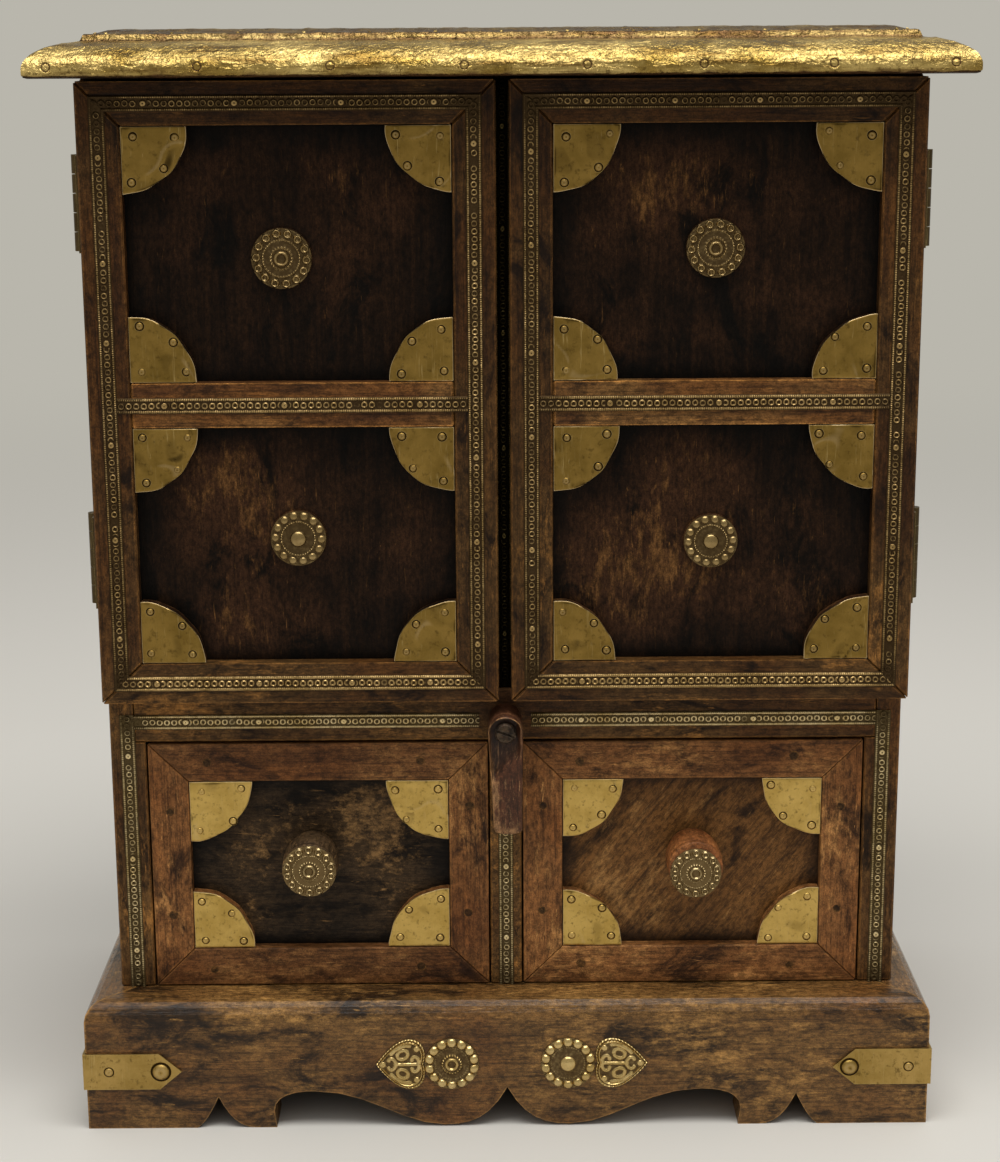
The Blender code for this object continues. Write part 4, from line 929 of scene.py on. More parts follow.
def door_strips(side, seed):
    """The strips round a door's frame and across its mid rail."""
    node = f"{side}_door_bead"
    low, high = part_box(node)
    x, z = [(low[axis] + STRIP_HALF_WIDTH, high[axis] - STRIP_HALF_WIDTH) for axis in (0, 2)]
    rail = f"{side}_door_mid_rail"
    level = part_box(rail)[0][1]
    middle = centre(rail)[2]
    corners = [(x[0], z[0]), (x[1], z[0]), (x[1], z[1]), (x[0], z[1])]
    form = Form()
    # Each edge's strip is painted lighter or darker for how the light falls on it
    for number, edge in enumerate(EDGES):
        ends = corners[number], corners[(number + 1) % 4]
        add_strip(form, *ends, level, 1, seed + number, DOOR_STRIP_PAINTED_LIGHT[edge])
    ends = (x[0] + STRIP_HALF_WIDTH, middle), (x[1] - STRIP_HALF_WIDTH, middle)
    add_strip(form, *ends, level, 0, seed + 4, DOOR_STRIP_PAINTED_LIGHT["middle"])
    form.piece(f"{side}_door_bead_strips", f"{side}_door", stamped_brass("door_strip"), "aged_brass", [node])


def carcass_strips(side, sign, seed):
    """The strips up a side's front edge and along one half of the rail."""
    node = f"carcass_bead_{side}"
    low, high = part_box(node)
    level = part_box(f"side_panel_{side}")[0][1]
    inner, outer = sorted([abs(low[0]), abs(high[0])])
    outer -= STRIP_HALF_WIDTH
    top = high[2] - STRIP_HALF_WIDTH
    form = Form()
    ends = (sign * outer, low[2]), (sign * outer, high[2])
    # Painted shade: the upright strip is duller than the rail's
    add_strip(form, *ends, level, 0, seed, CARCASS_STRIP_PAINTED_LIGHT["upright"])
    across = sorted([(sign * (outer - STRIP_HALF_WIDTH), top), (sign * inner, top)])
    add_strip(form, *across, level, 0, seed + 1, CARCASS_STRIP_PAINTED_LIGHT["rail"])
    # Painted light: the lit brass tone
    form.piece(f"carcass_bead_strips_{side}", "carcass", stamped_brass("lit_carcass_strip"), "aged_brass", [node])


def divider_strip(name, node, replaced, tone, seed):
    """The strip up the front edge of a divider."""
    low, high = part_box(node)
    form = Form()
    # Painted shade, as on the carcass uprights
    add_strip(form, (0.0, low[2]), (0.0, high[2]), low[1], 0, seed, CARCASS_STRIP_PAINTED_LIGHT["upright"])
    form.piece(name, "carcass", stamped_brass(tone), "aged_brass", replaced)


def quarter(radius, steps, ways, ragged):
    """Grid points of a quarter disc whose legs run the given ways, and how near each is to the rim."""
    shares = np.concatenate([[0.0, 0.02], np.linspace(0.05, 0.95, steps), [0.98, 1.0]])
    a, b = np.meshgrid(shares, shares, indexing="ij")
    x = a * np.sqrt(1.0 - 0.5 * b * b)
    y = b * np.sqrt(1.0 - 0.5 * a * a)
    angle = np.arctan2(y, x + 1e-9)
    ripples = [depth * np.sin(waves * angle + turns * ragged) for depth, waves, turns in PLATE_RIPPLES]
    reach = radius * (1.0 + sum(ripples))
    rim = np.minimum(np.minimum(a, b), np.minimum(1.0 - a, 1.0 - b))
    return ways[0] * x * reach, ways[1] * y * reach, rim


# A sunk panel: its body, name, edges in x and z, front of its frame, floor and wood
Panel = namedtuple("Panel", "body stem x z face floor wood")


def panels():
    """The sunk panels of the doors and drawers."""
    for side in SIDES:
        door = f"{side}_door"
        hinge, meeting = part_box(f"{door}_hinge_stile"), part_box(f"{door}_meeting_stile")
        x = (min(hinge[1][0], meeting[1][0]), max(hinge[0][0], meeting[0][0]))
        low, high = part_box(f"{door}_mid_rail")
        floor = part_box(f"{door}_board")[0][1]
        spans = {"lower": (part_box(f"{door}_bottom_rail")[1][2], low[2]),
                 "upper": (high[2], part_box(f"{door}_top_rail")[0][2])}
        for level, z in spans.items():
            yield Panel(door, f"{door}_{level}", x, z, low[1], floor, "dark_wood")
        drawer = f"{side}_drawer"
        low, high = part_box(f"{drawer}_front_frame")
        x, z = [(low[axis] + FRAME_BAND, high[axis] - FRAME_BAND) for axis in (0, 2)]
        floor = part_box(f"{drawer}_front")[0][1]
        yield Panel(drawer, drawer, x, z, low[1], floor, "drawer_wood")


def corner_plate(panel, corner, ways, draw):
    """A wooden quarter block in a panel's corner and the pinned brass plate on it."""
    stem = f"{panel.stem}_{corner}"
    place = tuple(span[0] if way > 0 else span[1] for span, way in zip((panel.x, panel.z), ways))
    radius = PLATE_RADIUS * draw.uniform(*PLATE_SIZES)
    ragged = draw.uniform(0.0, math.tau)
    x, z = (place[n] + ways[n] * PLATE_GAP for n in (0, 1))
    across, upward, rim = quarter(radius - BLOCK_SHORTFALL, BLOCK_STEPS, ways, ragged)
    tops = np.full(rim.shape, panel.floor - panel.face - PLATE_THICKNESS)
    block = grid_shape(across, upward, tops, np.zeros(rim.shape))
    single(block, front(x, panel.floor, z), f"{stem}_block", panel.body, wood(panel.wood, 0), panel.wood)

    across, upward, rim = quarter(radius, PLATE_STEPS, ways, ragged)
    flat = np.stack([across, upward, np.full(rim.shape, PLATE_NOISE_SPAN * draw.random())], axis=-1)
    shifted = flat + np.array(place + (0.0,))
    waves = lumps(shifted, PLATE_WAVE, 3)
    creased = smooth(lumps(shifted, PLATE_CREASED_AREA, 11), *PLATE_CREASED)
    folds = creased * ridge(waves, FOLD_HALF_WIDTH)
    shadows = creased * ridge(waves - FOLD_SHADOW_PLACE, FOLD_HALF_WIDTH)
    # Smudges, and a painted shadow beside each fold
    smudges_and_fold_shadows = smooth(lumps(flat, PLATE_SMUDGE, 12), *PLATE_SMUDGED) + FOLD_SHADOW * shadows
    edge = rim < PLATE_RIM
    tops = PLATE_THICKNESS + PLATE_DENT_DEPTH * lumps(flat, PLATE_DENT, 1) + FOLD_HEIGHT * folds
    # The rim is paler, partly rubbed and partly a painted highlight; the folds' crests get painted shine
    rubbed = -1.0 * edge - FOLD_SHINE * folds
    rim_grime = PLATE_RIM_GRIME * (1.0 - smooth(rim, PLATE_RIM, PLATE_RIM_GRIME_END))
    dirt_and_shade = np.where(edge, rubbed, rubbed + PLATE_SMUDGE_GRIME * smudges_and_fold_shadows + rim_grime)
    plate = Form()
    stand = front(x, panel.face + PLATE_THICKNESS, z)
    plate.add(grid_shape(across, upward, tops - PLATE_RIM_DROP * edge, dirt_and_shade), stand)
    for shares in PLATE_PIN_PLACES:
        pin_x, pin_z = [way * radius * (share + draw.uniform(-PLATE_PIN_SHIFT, PLATE_PIN_SHIFT))
                        for way, share in zip(ways, shares)]
        head = pin(PLATE_PIN_RADIUS * draw.uniform(*PLATE_PIN_SIZES), PLATE_PIN_HEIGHT)
        plate.add(head, stand @ Matrix.Translation((pin_x, pin_z, PLATE_THICKNESS)))
    # Painted light and shade: lit brass on the drawer plates, shaded brass on the door plates
    tone = "lit_drawer_plate" if "drawer" in stem else "shaded_door_plate"
    plate.piece(f"{stem}_plate", panel.body, sheet_brass(tone), "aged_brass")


def corner_plates():
    draw = random.Random(PLATE_SEED)
    for panel in panels():
        for corner, ways in CORNERS.items():
            corner_plate(panel, corner, ways, draw)


def rosette(radius, boss=False, high=False):
    """A stamped rosette: a ring of balls or hollow cups, finer rings, and a boss or small ring in the middle.

    High rosettes have larger balls and a dished middle. Cups take the place of balls on the plain low ones.
    """
    columns = ROSETTE_COLUMNS
    r = np.repeat(ROSETTE_ROWS[:, None], columns, axis=1)
    angle = np.repeat(np.linspace(0.0, math.tau, columns, endpoint=False)[None], len(ROSETTE_ROWS), axis=0)
    sector = math.tau / ROSETTE_BEADS
    aside = np.mod(angle, sector) - 0.5 * sector
    reach = np.sqrt(np.clip(r * r + BALL_PLACE ** 2 - 2.0 * r * BALL_PLACE * np.cos(aside), 0.0, None))
    half_width, lift = HIGH_BALLS if high else LOW_BALLS
    ring = lift * ridge(reach, half_width) ** BALL_POWER
    if not (boss or high):
        ring = np.maximum(ring_ridge(reach, CUP_RING), CUP_FLOOR[1] * ridge(reach, CUP_FLOOR[0]))
    fine, inner = [beaded(beads * ROSETTE_BEADS * angle, depth) * ring_ridge(r, place)
                   for place, (beads, depth) in ((FINE_RING, FINE_BEADS), (INNER_RING, INNER_BEADS))]
    fine = FINE_HEIGHTS["high" if high else "low"] * fine
    inner = INNER_HEIGHT * inner * (not boss)
    middle = BOSS[1] * ridge(r, BOSS[0]) ** BOSS_POWER if boss else ring_ridge(r, MIDDLE_RING)
    relief = np.maximum.reduce([ring, fine, inner, middle, RIM_HEIGHT * smooth(r, *RIM_EDGE)])
    dish = DISH_DEPTH * high * smooth(r, *DISH_INNER) * (1.0 - smooth(r, *DISH_OUTER))
    heights = ROSETTE_FLOOR + ROSETTE_CROWN * (1.0 - r * r - dish) + ROSETTE_HEIGHT * relief
    heights = np.clip(heights, ROSETTE_LOWEST, None)
    dirt_and_shade = ROSETTE_DIRT - smooth(relief, 0.0, ROSETTE_CLEAN_FROM * lift)
    return stamping(circle(radius, columns), ROSETTE_ROWS, heights, dirt_and_shade)


def rosettes():
    """The rosettes on the door panels, the knobs and the plinth."""
    for panel in panels():
        stem = panel.stem
        if stem not in DOOR_ROSETTE_PLACES:
            continue
        aside, rise = DOOR_ROSETTE_PLACES[stem]
        x, z = 0.5 * sum(panel.x) + aside, 0.5 * sum(panel.z) + rise
        radius = DOOR_ROSETTE_RADII[stem]
        rim = radius + DISC_MARGIN
        profile = [(0.0, DISC_THICKNESS, 0.0), (rim - DISC_CHAMFER[0], DISC_THICKNESS, 0.0),
                   (rim, DISC_THICKNESS - DISC_CHAMFER[1], 0.0), (rim, 0.0, 0.0)]
        single(lathe(profile, DISC_COLUMNS), front(x, panel.floor, z),
               f"{stem}_rosette_disc", panel.body, wood("dark_wood", 2), "dark_wood")
        stand = front(x, panel.floor - DISC_THICKNESS, z) @ Matrix.Rotation(DOOR_ROSETTE_TURN * x, 4, "Z")
        single(rosette(radius, boss=stem.endswith("lower")), stand,
               f"{stem}_rosette", panel.body, stamped_brass("door_rosette"), "aged_brass")
    for side in SIDES:
        node = f"{side}_drawer_knob"
        x, _, z = centre(node)
        stand = front(x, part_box(node)[0][1], z - KNOB_ROSETTE_DROP[side])
        single(rosette(KNOB_ROSETTE_RADIUS[side]), stand,
               f"{side}_knob_rosette", f"{side}_drawer", stamped_brass("knob_rosette"), "aged_brass")
        stand = front(PLINTH_ROSETTE_X[side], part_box("plinth_front")[0][1], PLINTH_TRIM_HEIGHT)
        single(rosette(PLINTH_ROSETTE_RADIUS, boss=side == "right", high=True), stand,
               f"plinth_rosette_{side}", "carcass", stamped_brass("plinth_rosette"), "aged_brass")


def bezier(points, count):
    t = np.linspace(0.0, 1.0, count)[:, None]
    a, b, c, d = (np.array(point) for point in points)
    return (1 - t) ** 3 * a + 3 * t * (1 - t) ** 2 * b + 3 * t * t * (1 - t) * c + t ** 3 * d


def heart(length):
    """A stamped heart with a milled edge, a plain ridge inside it, scrolls and three pins."""
    size = np.array([length, HEART_WIDTH])
    lobe = bezier(HEART_LOBE, HEART_LOBE_STEPS)[:-1]
    upper = np.concatenate([lobe, bezier(HEART_POINT, HEART_POINT_STEPS)])
    outline = np.concatenate([upper, upper[-2:0:-1] * (1.0, -1.0)]) * size
    r = np.repeat(HEART_ROWS[:, None], len(outline), axis=1)
    points = outline[None] * r[..., None]
    milled = beaded(0.5 * math.pi * np.arange(len(outline))[None], MILLED_DEPTH) * ring_ridge(r, MILLED_EDGE)
    plain = PLAIN_HEIGHT * ring_ridge(r, PLAIN_RIDGE)
    scrolls = np.zeros(r.shape)
    for curve in HEART_SCROLLS:
        for mirror in (1.0, -1.0):
            line = bezier(curve, HEART_SCROLL_STEPS) * (1.0, mirror) * size
            gaps = np.linalg.norm(points[:, :, None] - line[None, None], axis=-1).min(axis=-1)
            scrolls = np.maximum(scrolls, HEART_SCROLL_HEIGHT * ridge(gaps, HEART_SCROLL_HALF_WIDTH))
    scrolls *= r < HEART_SCROLL_LIMIT
    relief = np.maximum.reduce([milled, plain, scrolls])
    heights = HEART_FLOOR + HEART_RIDGE * relief + HEART_CROWN * (1.0 - r * r)
    dirt_and_shade = HEART_DIRT - smooth(relief, 0.0, HEART_CLEAN_FROM)
    head = pin(HEART_PIN_RADIUS, HEART_PIN_HEIGHT)
    places = [(x * size[0], y * size[1], HEART_PIN_LEVEL) for x, y in HEART_PINS]
    return ([(stamping(outline, HEART_ROWS, heights, dirt_and_shade), Matrix())]
            + [(head, Matrix.Translation(place)) for place in places])


def hearts():
    for side, sign in SIDES.items():
        form = Form()
        stand = front(HEART_X[side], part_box("plinth_front")[0][1], PLINTH_TRIM_HEIGHT)
        form.add_all(heart(sign * HEART_LENGTH[side]), stand)
        form.piece(f"plinth_heart_{side}", "carcass", stamped_brass("plinth_rosette"), "aged_brass")


def drawer_frame(side, draw):
    """A drawer front's four mitred members and the pegs that hold them."""
    node = f"{side}_drawer_front_frame"
    body = f"{side}_drawer"
    low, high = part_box(node)
    outer, inner = [[Vector(corner) for corner in (
        (low[0] + band, low[2] + band), (high[0] - band, low[2] + band),
        (high[0] - band, high[2] - band), (low[0] + band, high[2] - band))] for band in (0.0, FRAME_BAND)]
    for number, member in enumerate(EDGES):
        after = (number + 1) % 4
        run = (outer[after] - outer[number]).normalized() * MITRE_GAP
        corners = [outer[number] + run, outer[after] - run, inner[after] - run, inner[number] + run]
        shape = soiled(prism_shape(corners, high[1] - low[1]), MEMBER_GRIME[side][member])
        grain = 2 if member in ("left", "right") else 0
        made = single(shape, front(0.0, high[1], 0.0), f"{side}_drawer_frame_{member}", body,
                      wood("drawer_wood", grain), "drawer_wood", [node] if member == "bottom" else [])
        ease(made, BOARD_EASE)
    pegs = Form()
    half = 0.5 * FRAME_BAND
    places = [(x, high[2] - share * (high[2] - low[2])) for x in (low[0] + half, high[0] - half)
              for share in PEG_STILE_PLACES]
    places += [(low[0] + share * (high[0] - low[0]), z) for z in (low[2] + half, high[2] - half)
               for share in PEG_RAIL_PLACES]
    for x, z in places:
        peg = lathe(PEG_PROFILE, PEG_COLUMNS, PEG_RADIUS * draw.uniform(*PEG_SIZES))
        x += draw.uniform(-PEG_SHIFT_X, PEG_SHIFT_X)
        z += draw.uniform(-PEG_SHIFT_Z, PEG_SHIFT_Z)
        pegs.add(peg, front(x, low[1], z))
    pegs.piece(f"{side}_drawer_pegs", body, wood("frame_wood", 1), "frame_wood")


def knob(side):
    """A turned knob with a neck, a full belly, a bead behind its face and fine tool rings."""
    node = f"{side}_drawer_knob"
    low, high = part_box(node)
    x, _, z = centre(node)
    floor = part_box(f"{side}_drawer_front")[0][1]
    shape = lathe(KNOB_PROFILE, KNOB_COLUMNS, 0.5 * (high[0] - low[0]), floor - low[1])
    finish, slot = KNOB_FINISHES[side]
    single(shape, front(x, floor, z), f"{side}_turned_knob", f"{side}_drawer",
           wood(finish, 1, KNOB_SHADES[side]), slot, [node])


def top_profile(middle):
    """Reach in from the edge and height of the cover's rows, from its lower lip to the middle of the top."""
    turns = np.linspace(0.0, 0.5 * math.pi, TOP_NOSE_STEPS)
    lip, tiers = [[(inset * MM, height * MM) for inset, height in rows] for rows in (TOP_LIP, TOP_TIERS)]
    nose = [(TOP_NOSE_REACH * (1 - math.cos(turn)), TOP_LIP_HEIGHT + TOP_NOSE_HEIGHT * math.sin(turn))
            for turn in turns]
    last, height = tiers[-1]
    flat = [(inset, height) for inset in np.linspace(last, middle, TOP_FLAT_ROWS)[1:]]
    return np.array(lip + nose + tiers + flat).T


def top_outline(half):
    """Places round the top's edge, as shares of its half sizes, with the way that each one faces."""
    across, deep = [np.linspace(-1.0, 1.0, round(2 * size / TOP_SPACING), endpoint=False) for size in half]
    edges = [(across, -1.0, 0.0, -1.0), (1.0, deep, 1.0, 0.0),
             (-across, 1.0, 0.0, 1.0), (-1.0, -deep, -1.0, 0.0)]
    sides = [np.stack(np.broadcast_arrays(*edge), axis=-1) for edge in edges]
    outline = np.concatenate(sides)
    for corner in np.cumsum([0] + [len(side) for side in sides[:-1]]):
        outline[corner, 2:] = (outline[corner - 1, 2:] + outline[corner, 2:]) / math.sqrt(2.0)
    return outline


def hammering(points, height):
    """Depth of the dents, folds and hammer strokes at each point of the cover, and of its small pocks."""
    marks = {kind: lumps(points * (1.0, 1.0, squeeze), size, seed)
             for kind, (size, squeeze, seed) in TOP_MARKS.items()}
    dents, strokes, folds = [0.5 + 0.5 * marks[kind] for kind in ("dents", "strokes", "folds")]
    pocks = np.clip(marks["pocks"], 0.0, None)
    crumple = smooth(height, *TOP_CRUMPLED)[:, None]
    corner = smooth(np.abs(points[..., 0]), *TOP_CORNER)
    depth = DENT_DEPTH * dents + STROKE_DEPTH * strokes + FOLD_DEPTH * (crumple + corner) * folds
    depth = depth + (POCK_DEPTHS[0] + POCK_DEPTHS[1] * corner) * pocks
    depth = np.clip(depth - WRINKLE_HEIGHT * ridge(marks["wrinkles"], WRINKLE_HALF_WIDTH), 0.0, None)
    return TOP_DENT * np.tanh(depth * MM / TOP_DENT), pocks


def top_cover():
    """The hammered brass sheet nailed over the moulded top: a lumpy outer face and a plain inner one."""
    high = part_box("top_brass_cover")[1]
    half = np.array([high[0], high[1]])
    inset, height = top_profile(half[1])
    base = high[2] - height.max()
    outline = top_outline(half)
    columns = len(outline)
    flat = outline[None, :, :2] * (half - inset[:, None])[:, None]
    points = np.concatenate([flat, np.repeat(base + height[:, None, None], columns, axis=1)], axis=-1)
    slope = np.gradient(np.stack([inset, height], axis=-1), axis=0)
    slope /= np.linalg.norm(slope, axis=-1, keepdims=True) + 1e-12
    normals = np.concatenate([outline[None, :, 2:] * slope[:, 1, None, None],
                              np.repeat(slope[:, 0, None, None], columns, axis=1)], axis=-1)
    freedom = (1.0 - TOP_WALL_HOLD * ridge(inset - TOP_WALL, TOP_WALL_HALF_WIDTH))[:, None]
    depth, pocks = hammering(points, height)
    depth = depth * freedom
    nails = list(top_nails(half, base))
    for place, _, _, rise in nails:
        near = 1.0 - smooth(np.linalg.norm(points - place, axis=-1), *TOP_NAIL_SEAT)
        depth += near * (rise - depth)
    depth[-1] = depth[-1].mean()
    outer = points - normals * depth[..., None]
    shell = len(inset) - TOP_FLAT_ROWS + 1
    inner = (points - normals * (TOP_DENT * freedom + TOP_SHEET)[..., None])[:shell]

    number = np.arange(outer.shape[0] * columns).reshape(-1, columns)
    inside = number.size + np.arange(shell * columns).reshape(-1, columns)
    faces = [inside[-1].tolist()]
    for first, second in ((number[:-1], number[1:]), (inside[1:], inside[:-1]), (inside[:1], number[:1])):
        quads = np.stack([first, np.roll(first, -1, axis=1), np.roll(second, -1, axis=1), second], axis=-1)
        faces += quads.reshape(-1, 4).tolist()
    step = smooth(height, *STEP_DIRT_HEIGHTS) * (1.0 - STEP_CLEANER * smooth(inset, *STEP_CLEANER_INSETS))
    crease = ridge(inset - TOP_NOSE_REACH, CREASE_HALF_WIDTH) * (height < CREASE_TOP)
    # Darker towards the lower edge of the lip
    lip = LIP_DARKENING * (1.0 - smooth(height, 0.0, LIP_DARKENING_HEIGHT))
    dirt_and_shade = np.clip((crease + STEP_DIRT * step + lip)[:, None] + POCK_DIRT * pocks, 0.0, 1.0)
    everything = np.concatenate([outer.reshape(-1, 3), inner.reshape(-1, 3)])
    shape = (everything, faces, np.concatenate([dirt_and_shade.reshape(-1), np.zeros(inside.size)]))
    cover = single(shape, None, "top_hammered_cover", "carcass", hammered_brass(), "bright_brass",
                   ["top_brass_cover"], TOP_SHARP_ANGLE)
    close_up(cover)
    heads = Form()
    for place, normal, shape, rise in nails:
        heads.add(shape, facing(Vector(place) - rise * Vector(normal).normalized(), normal))
    heads.piece("top_cover_nails", "carcass", hammered_brass(), "bright_brass")


def close_up(piece):
    """Weld points that meet and drop the faces that this leaves flat."""
    skin = bmesh.new()
    skin.from_mesh(piece.data)
    bmesh.ops.remove_doubles(skin, verts=skin.verts, dist=WELD_REACH)
    bmesh.ops.dissolve_degenerate(skin, edges=skin.edges, dist=WELD_REACH)
    bmesh.ops.recalc_face_normals(skin, faces=skin.faces)
    skin.to_mesh(piece.data)
    skin.free()


def top_nails(half, base):
    """Place, normal, head and rise of the nails round the nose of the top and along the step above it."""
    lean = (TOP_NAIL_HEIGHT - TOP_LIP_HEIGHT) / TOP_NOSE_HEIGHT
    inset = TOP_NOSE_REACH * (1.0 - math.sqrt(1.0 - lean * lean))
    height = base + TOP_NAIL_HEIGHT
    head = nail(TOP_NAIL_RADIUS, TOP_NAIL_RISE)
    for x in TOP_NAIL_X:
        for sign in (-1.0, 1.0):
            place = (-sign * x * MM, sign * (half[1] - inset), height)
            yield place, (0.0, sign, TOP_NAIL_TILT), head, TOP_NAIL_RISE
    for share in np.linspace(-TOP_NAIL_SIDE_SPAN, TOP_NAIL_SIDE_SPAN, TOP_NAIL_SIDE_COUNT):
        for sign in SIDES.values():
            place = (sign * (half[0] - inset), share * half[1], height)
            yield place, (sign, 0.0, TOP_NAIL_TILT), head, TOP_NAIL_RISE
    small = pin(CROWN_NAIL_RADIUS, CROWN_NAIL_RISE)
    reach = half - CROWN_NAIL_INSET
    for axis in (0, 1):
        count = round(2 * reach[axis] / CROWN_NAIL_SPACING)
        for share in np.linspace(-CROWN_NAIL_SPAN, CROWN_NAIL_SPAN, count):
            for sign in SIDES.values():
                place = [0.0, 0.0, base + CROWN_NAIL_HEIGHT]
                place[axis] = share * reach[axis]
                place[1 - axis] = sign * reach[1 - axis]
                normal = [0.0, 0.0, 1.0]
                normal[1 - axis] = CROWN_NAIL_TILT * sign
                yield tuple(place), tuple(normal), small, CROWN_NAIL_RISE


def turn_button():
    """The carved button: a tapering arm, scooped out round its screw beside a worn rim, on a round post."""
    low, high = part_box("turn_button")
    pivot = Vector(next(joint for joint in frame["record"]["behaviour"]["joints"]
                        if joint["name"] == "turn_button_pivot")["pos_m"])
    length = BUTTON_TAIL + BUTTON_ROWS * (BUTTON_TIP - BUTTON_TAIL)
    length, s = np.meshgrid(length, BUTTON_COLUMNS, indexing="ij")
    bow = BUTTON_TIP_BOW * s * s
    length = length - bow * smooth(length, BUTTON_BOWED_FROM, BUTTON_TIP)
    round_tail = np.sqrt(1.0 - BUTTON_TAIL_ROUND * s * s)
    length = np.where(length < 0.0, length * round_tail, length)
    taper = smooth(length, BUTTON_TAIL, BUTTON_TIP)
    width = BUTTON_BASE_HALF_WIDTH + taper * (BUTTON_TIP_HALF_WIDTH - BUTTON_BASE_HALF_WIDTH)
    ends = np.minimum(length - BUTTON_TAIL * round_tail, BUTTON_TIP - bow - length)
    width = width - 0.5 * BUTTON_ROUND * (1.0 - smooth(ends, 0.0, BUTTON_END_ROUND))
    x = width * s
    edge = np.minimum(width - np.abs(x), ends)
    inward = 1.0 - np.clip(edge / BUTTON_ROUND, 0, 1)
    rounding = BUTTON_ROUND * (1.0 - np.sqrt(np.clip(1.0 - inward ** 2, 0, 1)))
    scoop = 1.0 - smooth(length + BUTTON_SCOOP_SLANT * x, *BUTTON_SCOOP)
    scoop = scoop * smooth(x + width, *BUTTON_RIM) * smooth(edge, *BUTTON_THIN_RIM)
    scoop = np.maximum(scoop, 1.0 - smooth(np.hypot(x, length), *BUTTON_SCREW_SEAT))
    grain = np.stack([x, length, np.zeros(x.shape)], axis=-1)
    tip = smooth(length, BUTTON_RUBBED_FROM, BUTTON_TIP)
    worn = sum(depth * lumps(grain * (1.0, squeeze, 1.0), size, seed)
               for depth, size, squeeze, seed in BUTTON_WEAR)
    depth, size, seed = BUTTON_TIP_WEAR
    worn = worn + depth * tip * lumps(grain, size, seed)
    top = BUTTON_THICKNESS - BUTTON_ALLOWANCE - rounding - BUTTON_SCOOP_DEPTH * scoop
    top = top + worn * (1.0 - BUTTON_SCOOP_SMOOTH * scoop)
    even, uneven, size, seed = BUTTON_TIP_RUB
    rubbed = tip * (even + uneven * lumps(grain, size, seed))
    arm_back = low[1] + BUTTON_THICKNESS
    upright = front(pivot.x, arm_back, pivot.z) @ Matrix.Rotation(math.pi, 4, "Z")
    form = Form()
    leaning = x + BUTTON_LEAN * np.clip(length, 0.0, None)
    form.add(grid_shape(leaning, length, top, BUTTON_SCOOP_GRIME * scoop - rubbed), upright)
    post = [(0.0, BUTTON_POST_OVERLAP, 0.0), (BUTTON_POST_RADIUS, BUTTON_POST_OVERLAP, 0.0),
            (BUTTON_POST_RADIUS, arm_back - high[1], 0.0)]
    form.add(lathe(post, BUTTON_POST_COLUMNS), upright)
    form.piece("carved_turn_button", "turn_button", wood("button_wood", 2), "button_wood", ["turn_button"])


def strap_nails():
    """A large and a small nail on the front of each plinth strap, and two small ones on its side leg."""
    for side, sign in SIDES.items():
        node = f"plinth_strap_{side}"
        low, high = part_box(node)
        middle = centre(node)[2]
        form = Form()
        for x, radius in STRAP_NAILS[side]:
            head = pin(radius * MM, STRAP_NAIL_RISE * radius * MM, STRAP_NAIL_COLUMNS)
            form.add(head, front(sign * x * MM, low[1], middle))
        outer = max(abs(low[0]), abs(high[0]))
        for share in STRAP_SIDE_NAIL_PLACES:
            place = (sign * outer, low[1] + share * (high[1] - low[1]), middle)
            form.add(pin(*STRAP_SIDE_NAIL), facing(place, (sign, 0.0, 0.0)))
        form.piece(f"plinth_strap_nails_{side}", "carcass", sheet_brass(), "aged_brass")


def hinge_screws():
    """The screws through each hinge leaf."""
    for side, sign in SIDES.items():
        for owner, body in (("door", f"{side}_door"), ("carcass", "carcass")):
            form = Form()
            for level in ("upper", "lower"):
                low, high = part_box(f"{side}_{level}_hinge_{owner}_leaf")
                inner = min(abs(low[0]), abs(high[0])) + HINGE_LEAF_THICKNESS
                y = low[1] + HINGE_SCREW_INSET if owner == "door" else high[1] - HINGE_SCREW_INSET
                for share in HINGE_SCREW_PLACES:
                    place = (sign * inner, y, low[2] + share * (high[2] - low[2]))
                    form.add(pin(HINGE_SCREW_RADIUS, HINGE_SCREW_HEIGHT), facing(place, (sign, 0.0, 0.0)))
            form.piece(f"{side}_hinge_{owner}_screws", body, sheet_brass("hinge"), "aged_brass")


def frame_finishes():
    """Finish the frame's own pieces, with the grain of each board along its longest side."""
    sunk = {}
    for panel in panels():
        board = f"{panel.body}_board" if panel.body.endswith("door") else f"{panel.body}_front"
        sunk[board] = sunk.get(board, ()) + ((panel.x, panel.z, panel.floor),)
    for row in frame["record"]["subparts"]:
        name, slot = row["node"], row["material_slot"]
        low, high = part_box(name)
        spans = [high[number] - low[number] for number in range(3)]
        node = frame["nodes"][name]
        if slot in METALS:
            material = sheet_brass("hinge") if "hinge" in name else METALS[slot]()
        else:
            # Painted light and shade on the door frame members, set for each kind of member
            tint = next((shade for member, shade in MEMBER_PAINTED_LIGHT.items() if name.endswith(member)), 1.0)
            finish = PANEL_FINISHES.get(name, slot)
            material = wood(finish, spans.index(max(spans)), tint, sunk.get(name, ()))
            ease(node, BOARD_EASE)
        slots = node.data.materials
        slots.clear()
        slots.append(material)


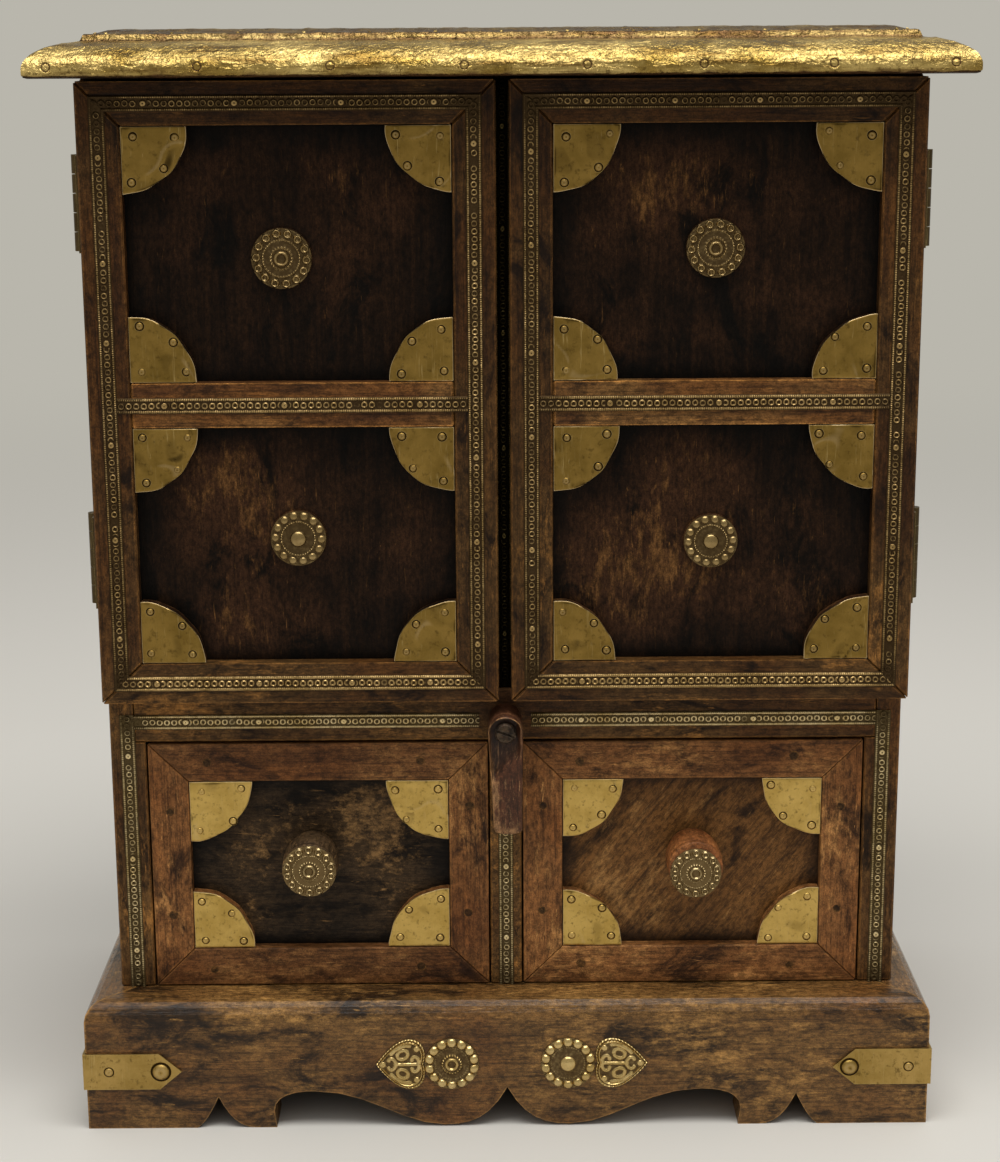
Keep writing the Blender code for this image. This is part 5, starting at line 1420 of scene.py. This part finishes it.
def studio():
    """The pale floor and backdrop, a soft key light from above and a plain fill."""
    scene = bpy.context.scene
    scene.world = bpy.data.worlds.new("studio")
    scene.world.use_nodes = True
    sky = Nodes(scene.world.node_tree)
    way = sky.add("ShaderNodeTexCoord").outputs["Generated"]
    rise = sky.add("ShaderNodeSeparateXYZ", {0: way}).outputs["Z"]
    fill = sky.step(rise, *FILL_SPAN, *FILL)
    sky.feed(sky.tree.nodes["Background"].inputs["Color"], sky.mix(sky.seen(), fill, linear(BACKDROP)))

    mesh = bpy.data.meshes.new("floor")
    disc = bmesh.new()
    bmesh.ops.create_circle(disc, cap_ends=True, segments=96, radius=FLOOR_RADIUS)
    disc.to_mesh(mesh)
    disc.free()
    floor = bpy.data.objects.new("floor", mesh)
    scene.collection.objects.link(floor)
    shader = Shader("pale_floor")
    reach = shader.add("ShaderNodeVectorMath", {0: shader.place}, operation="LENGTH").outputs["Value"]
    far = shader.step(reach, *FLOOR_FADE)
    seen = shader.times(shader.seen(), far)
    dimmed = shader.mix(shader.less(far, seen), linear(FLOOR_NEAR), linear(FLOOR_FAR))
    shader.feed(shader.surface.inputs["Base Color"], dimmed)
    shader.surface.inputs["Roughness"].default_value = FLOOR_ROUGHNESS
    glow = shader.add("ShaderNodeEmission", {"Color": linear(BACKDROP), "Strength": 1.0})
    fade = shader.add("ShaderNodeMixShader", {0: seen, 1: shader.surface.outputs[0], 2: glow.outputs[0]})
    shader.feed(shader.tree.nodes["Material Output"].inputs["Surface"], fade.outputs[0])
    mesh.materials.append(shader.material)
    floor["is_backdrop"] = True

    lamp = bpy.data.lights.new("key", "AREA")
    lamp.shape = "RECTANGLE"
    lamp.size, lamp.size_y = KEY_SIZE
    lamp.energy = KEY_POWER
    key = bpy.data.objects.new("key", lamp)
    turn = (KEY_AIM - KEY_PLACE).to_track_quat("-Z", "Y")
    key.matrix_world = Matrix.Translation(KEY_PLACE) @ turn.to_matrix().to_4x4()
    scene.collection.objects.link(key)


def camera():
    eye = bpy.data.objects.new("camera", bpy.data.cameras.new("camera"))
    eye.data.lens = CAMERA_LENS
    eye.data.sensor_width = CAMERA_SENSOR
    turn = Matrix.Rotation(-CAMERA_YAW, 4, "Z") @ Matrix.Rotation(math.radians(90) - CAMERA_PITCH, 4, "X")
    eye.matrix_world = Matrix.Translation(CAMERA_PLACE) @ turn @ Matrix.Rotation(-CAMERA_ROLL, 4, "Z")
    bpy.context.scene.collection.objects.link(eye)
    bpy.context.scene.camera = eye


camera()
studio()
bpy.context.scene.view_settings.view_transform = "Standard"
frame_finishes()
for number, (name, way) in enumerate(SIDES.items()):
    door_strips(name, SEED_STEP * number)
    carcass_strips(name, way, CARCASS_STRIP_SEED + SEED_STEP * number)
    drawer_frame(name, random.Random(PEG_SEED + number))
    knob(name)
# Painted light: the centre strip takes the lit carcass brass
divider_strip("carcass_bead_strip_centre", "drawer_divider", ["carcass_bead_centre"], "lit_carcass_strip",
              DRAWER_DIVIDER_SEED)
# Painted shade on the strip in the door gap
divider_strip("cupboard_bead_strip", "cupboard_divider", [], "shaded_hidden_strip", CUPBOARD_DIVIDER_SEED)
corner_plates()
rosettes()
hearts()
top_cover()
turn_button()
strap_nails()
hinge_screws()

boxes = {"cad": CAD_BOX, "visual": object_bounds()}
{name: [list(corner) for corner in box] for name, box in boxes.items()}
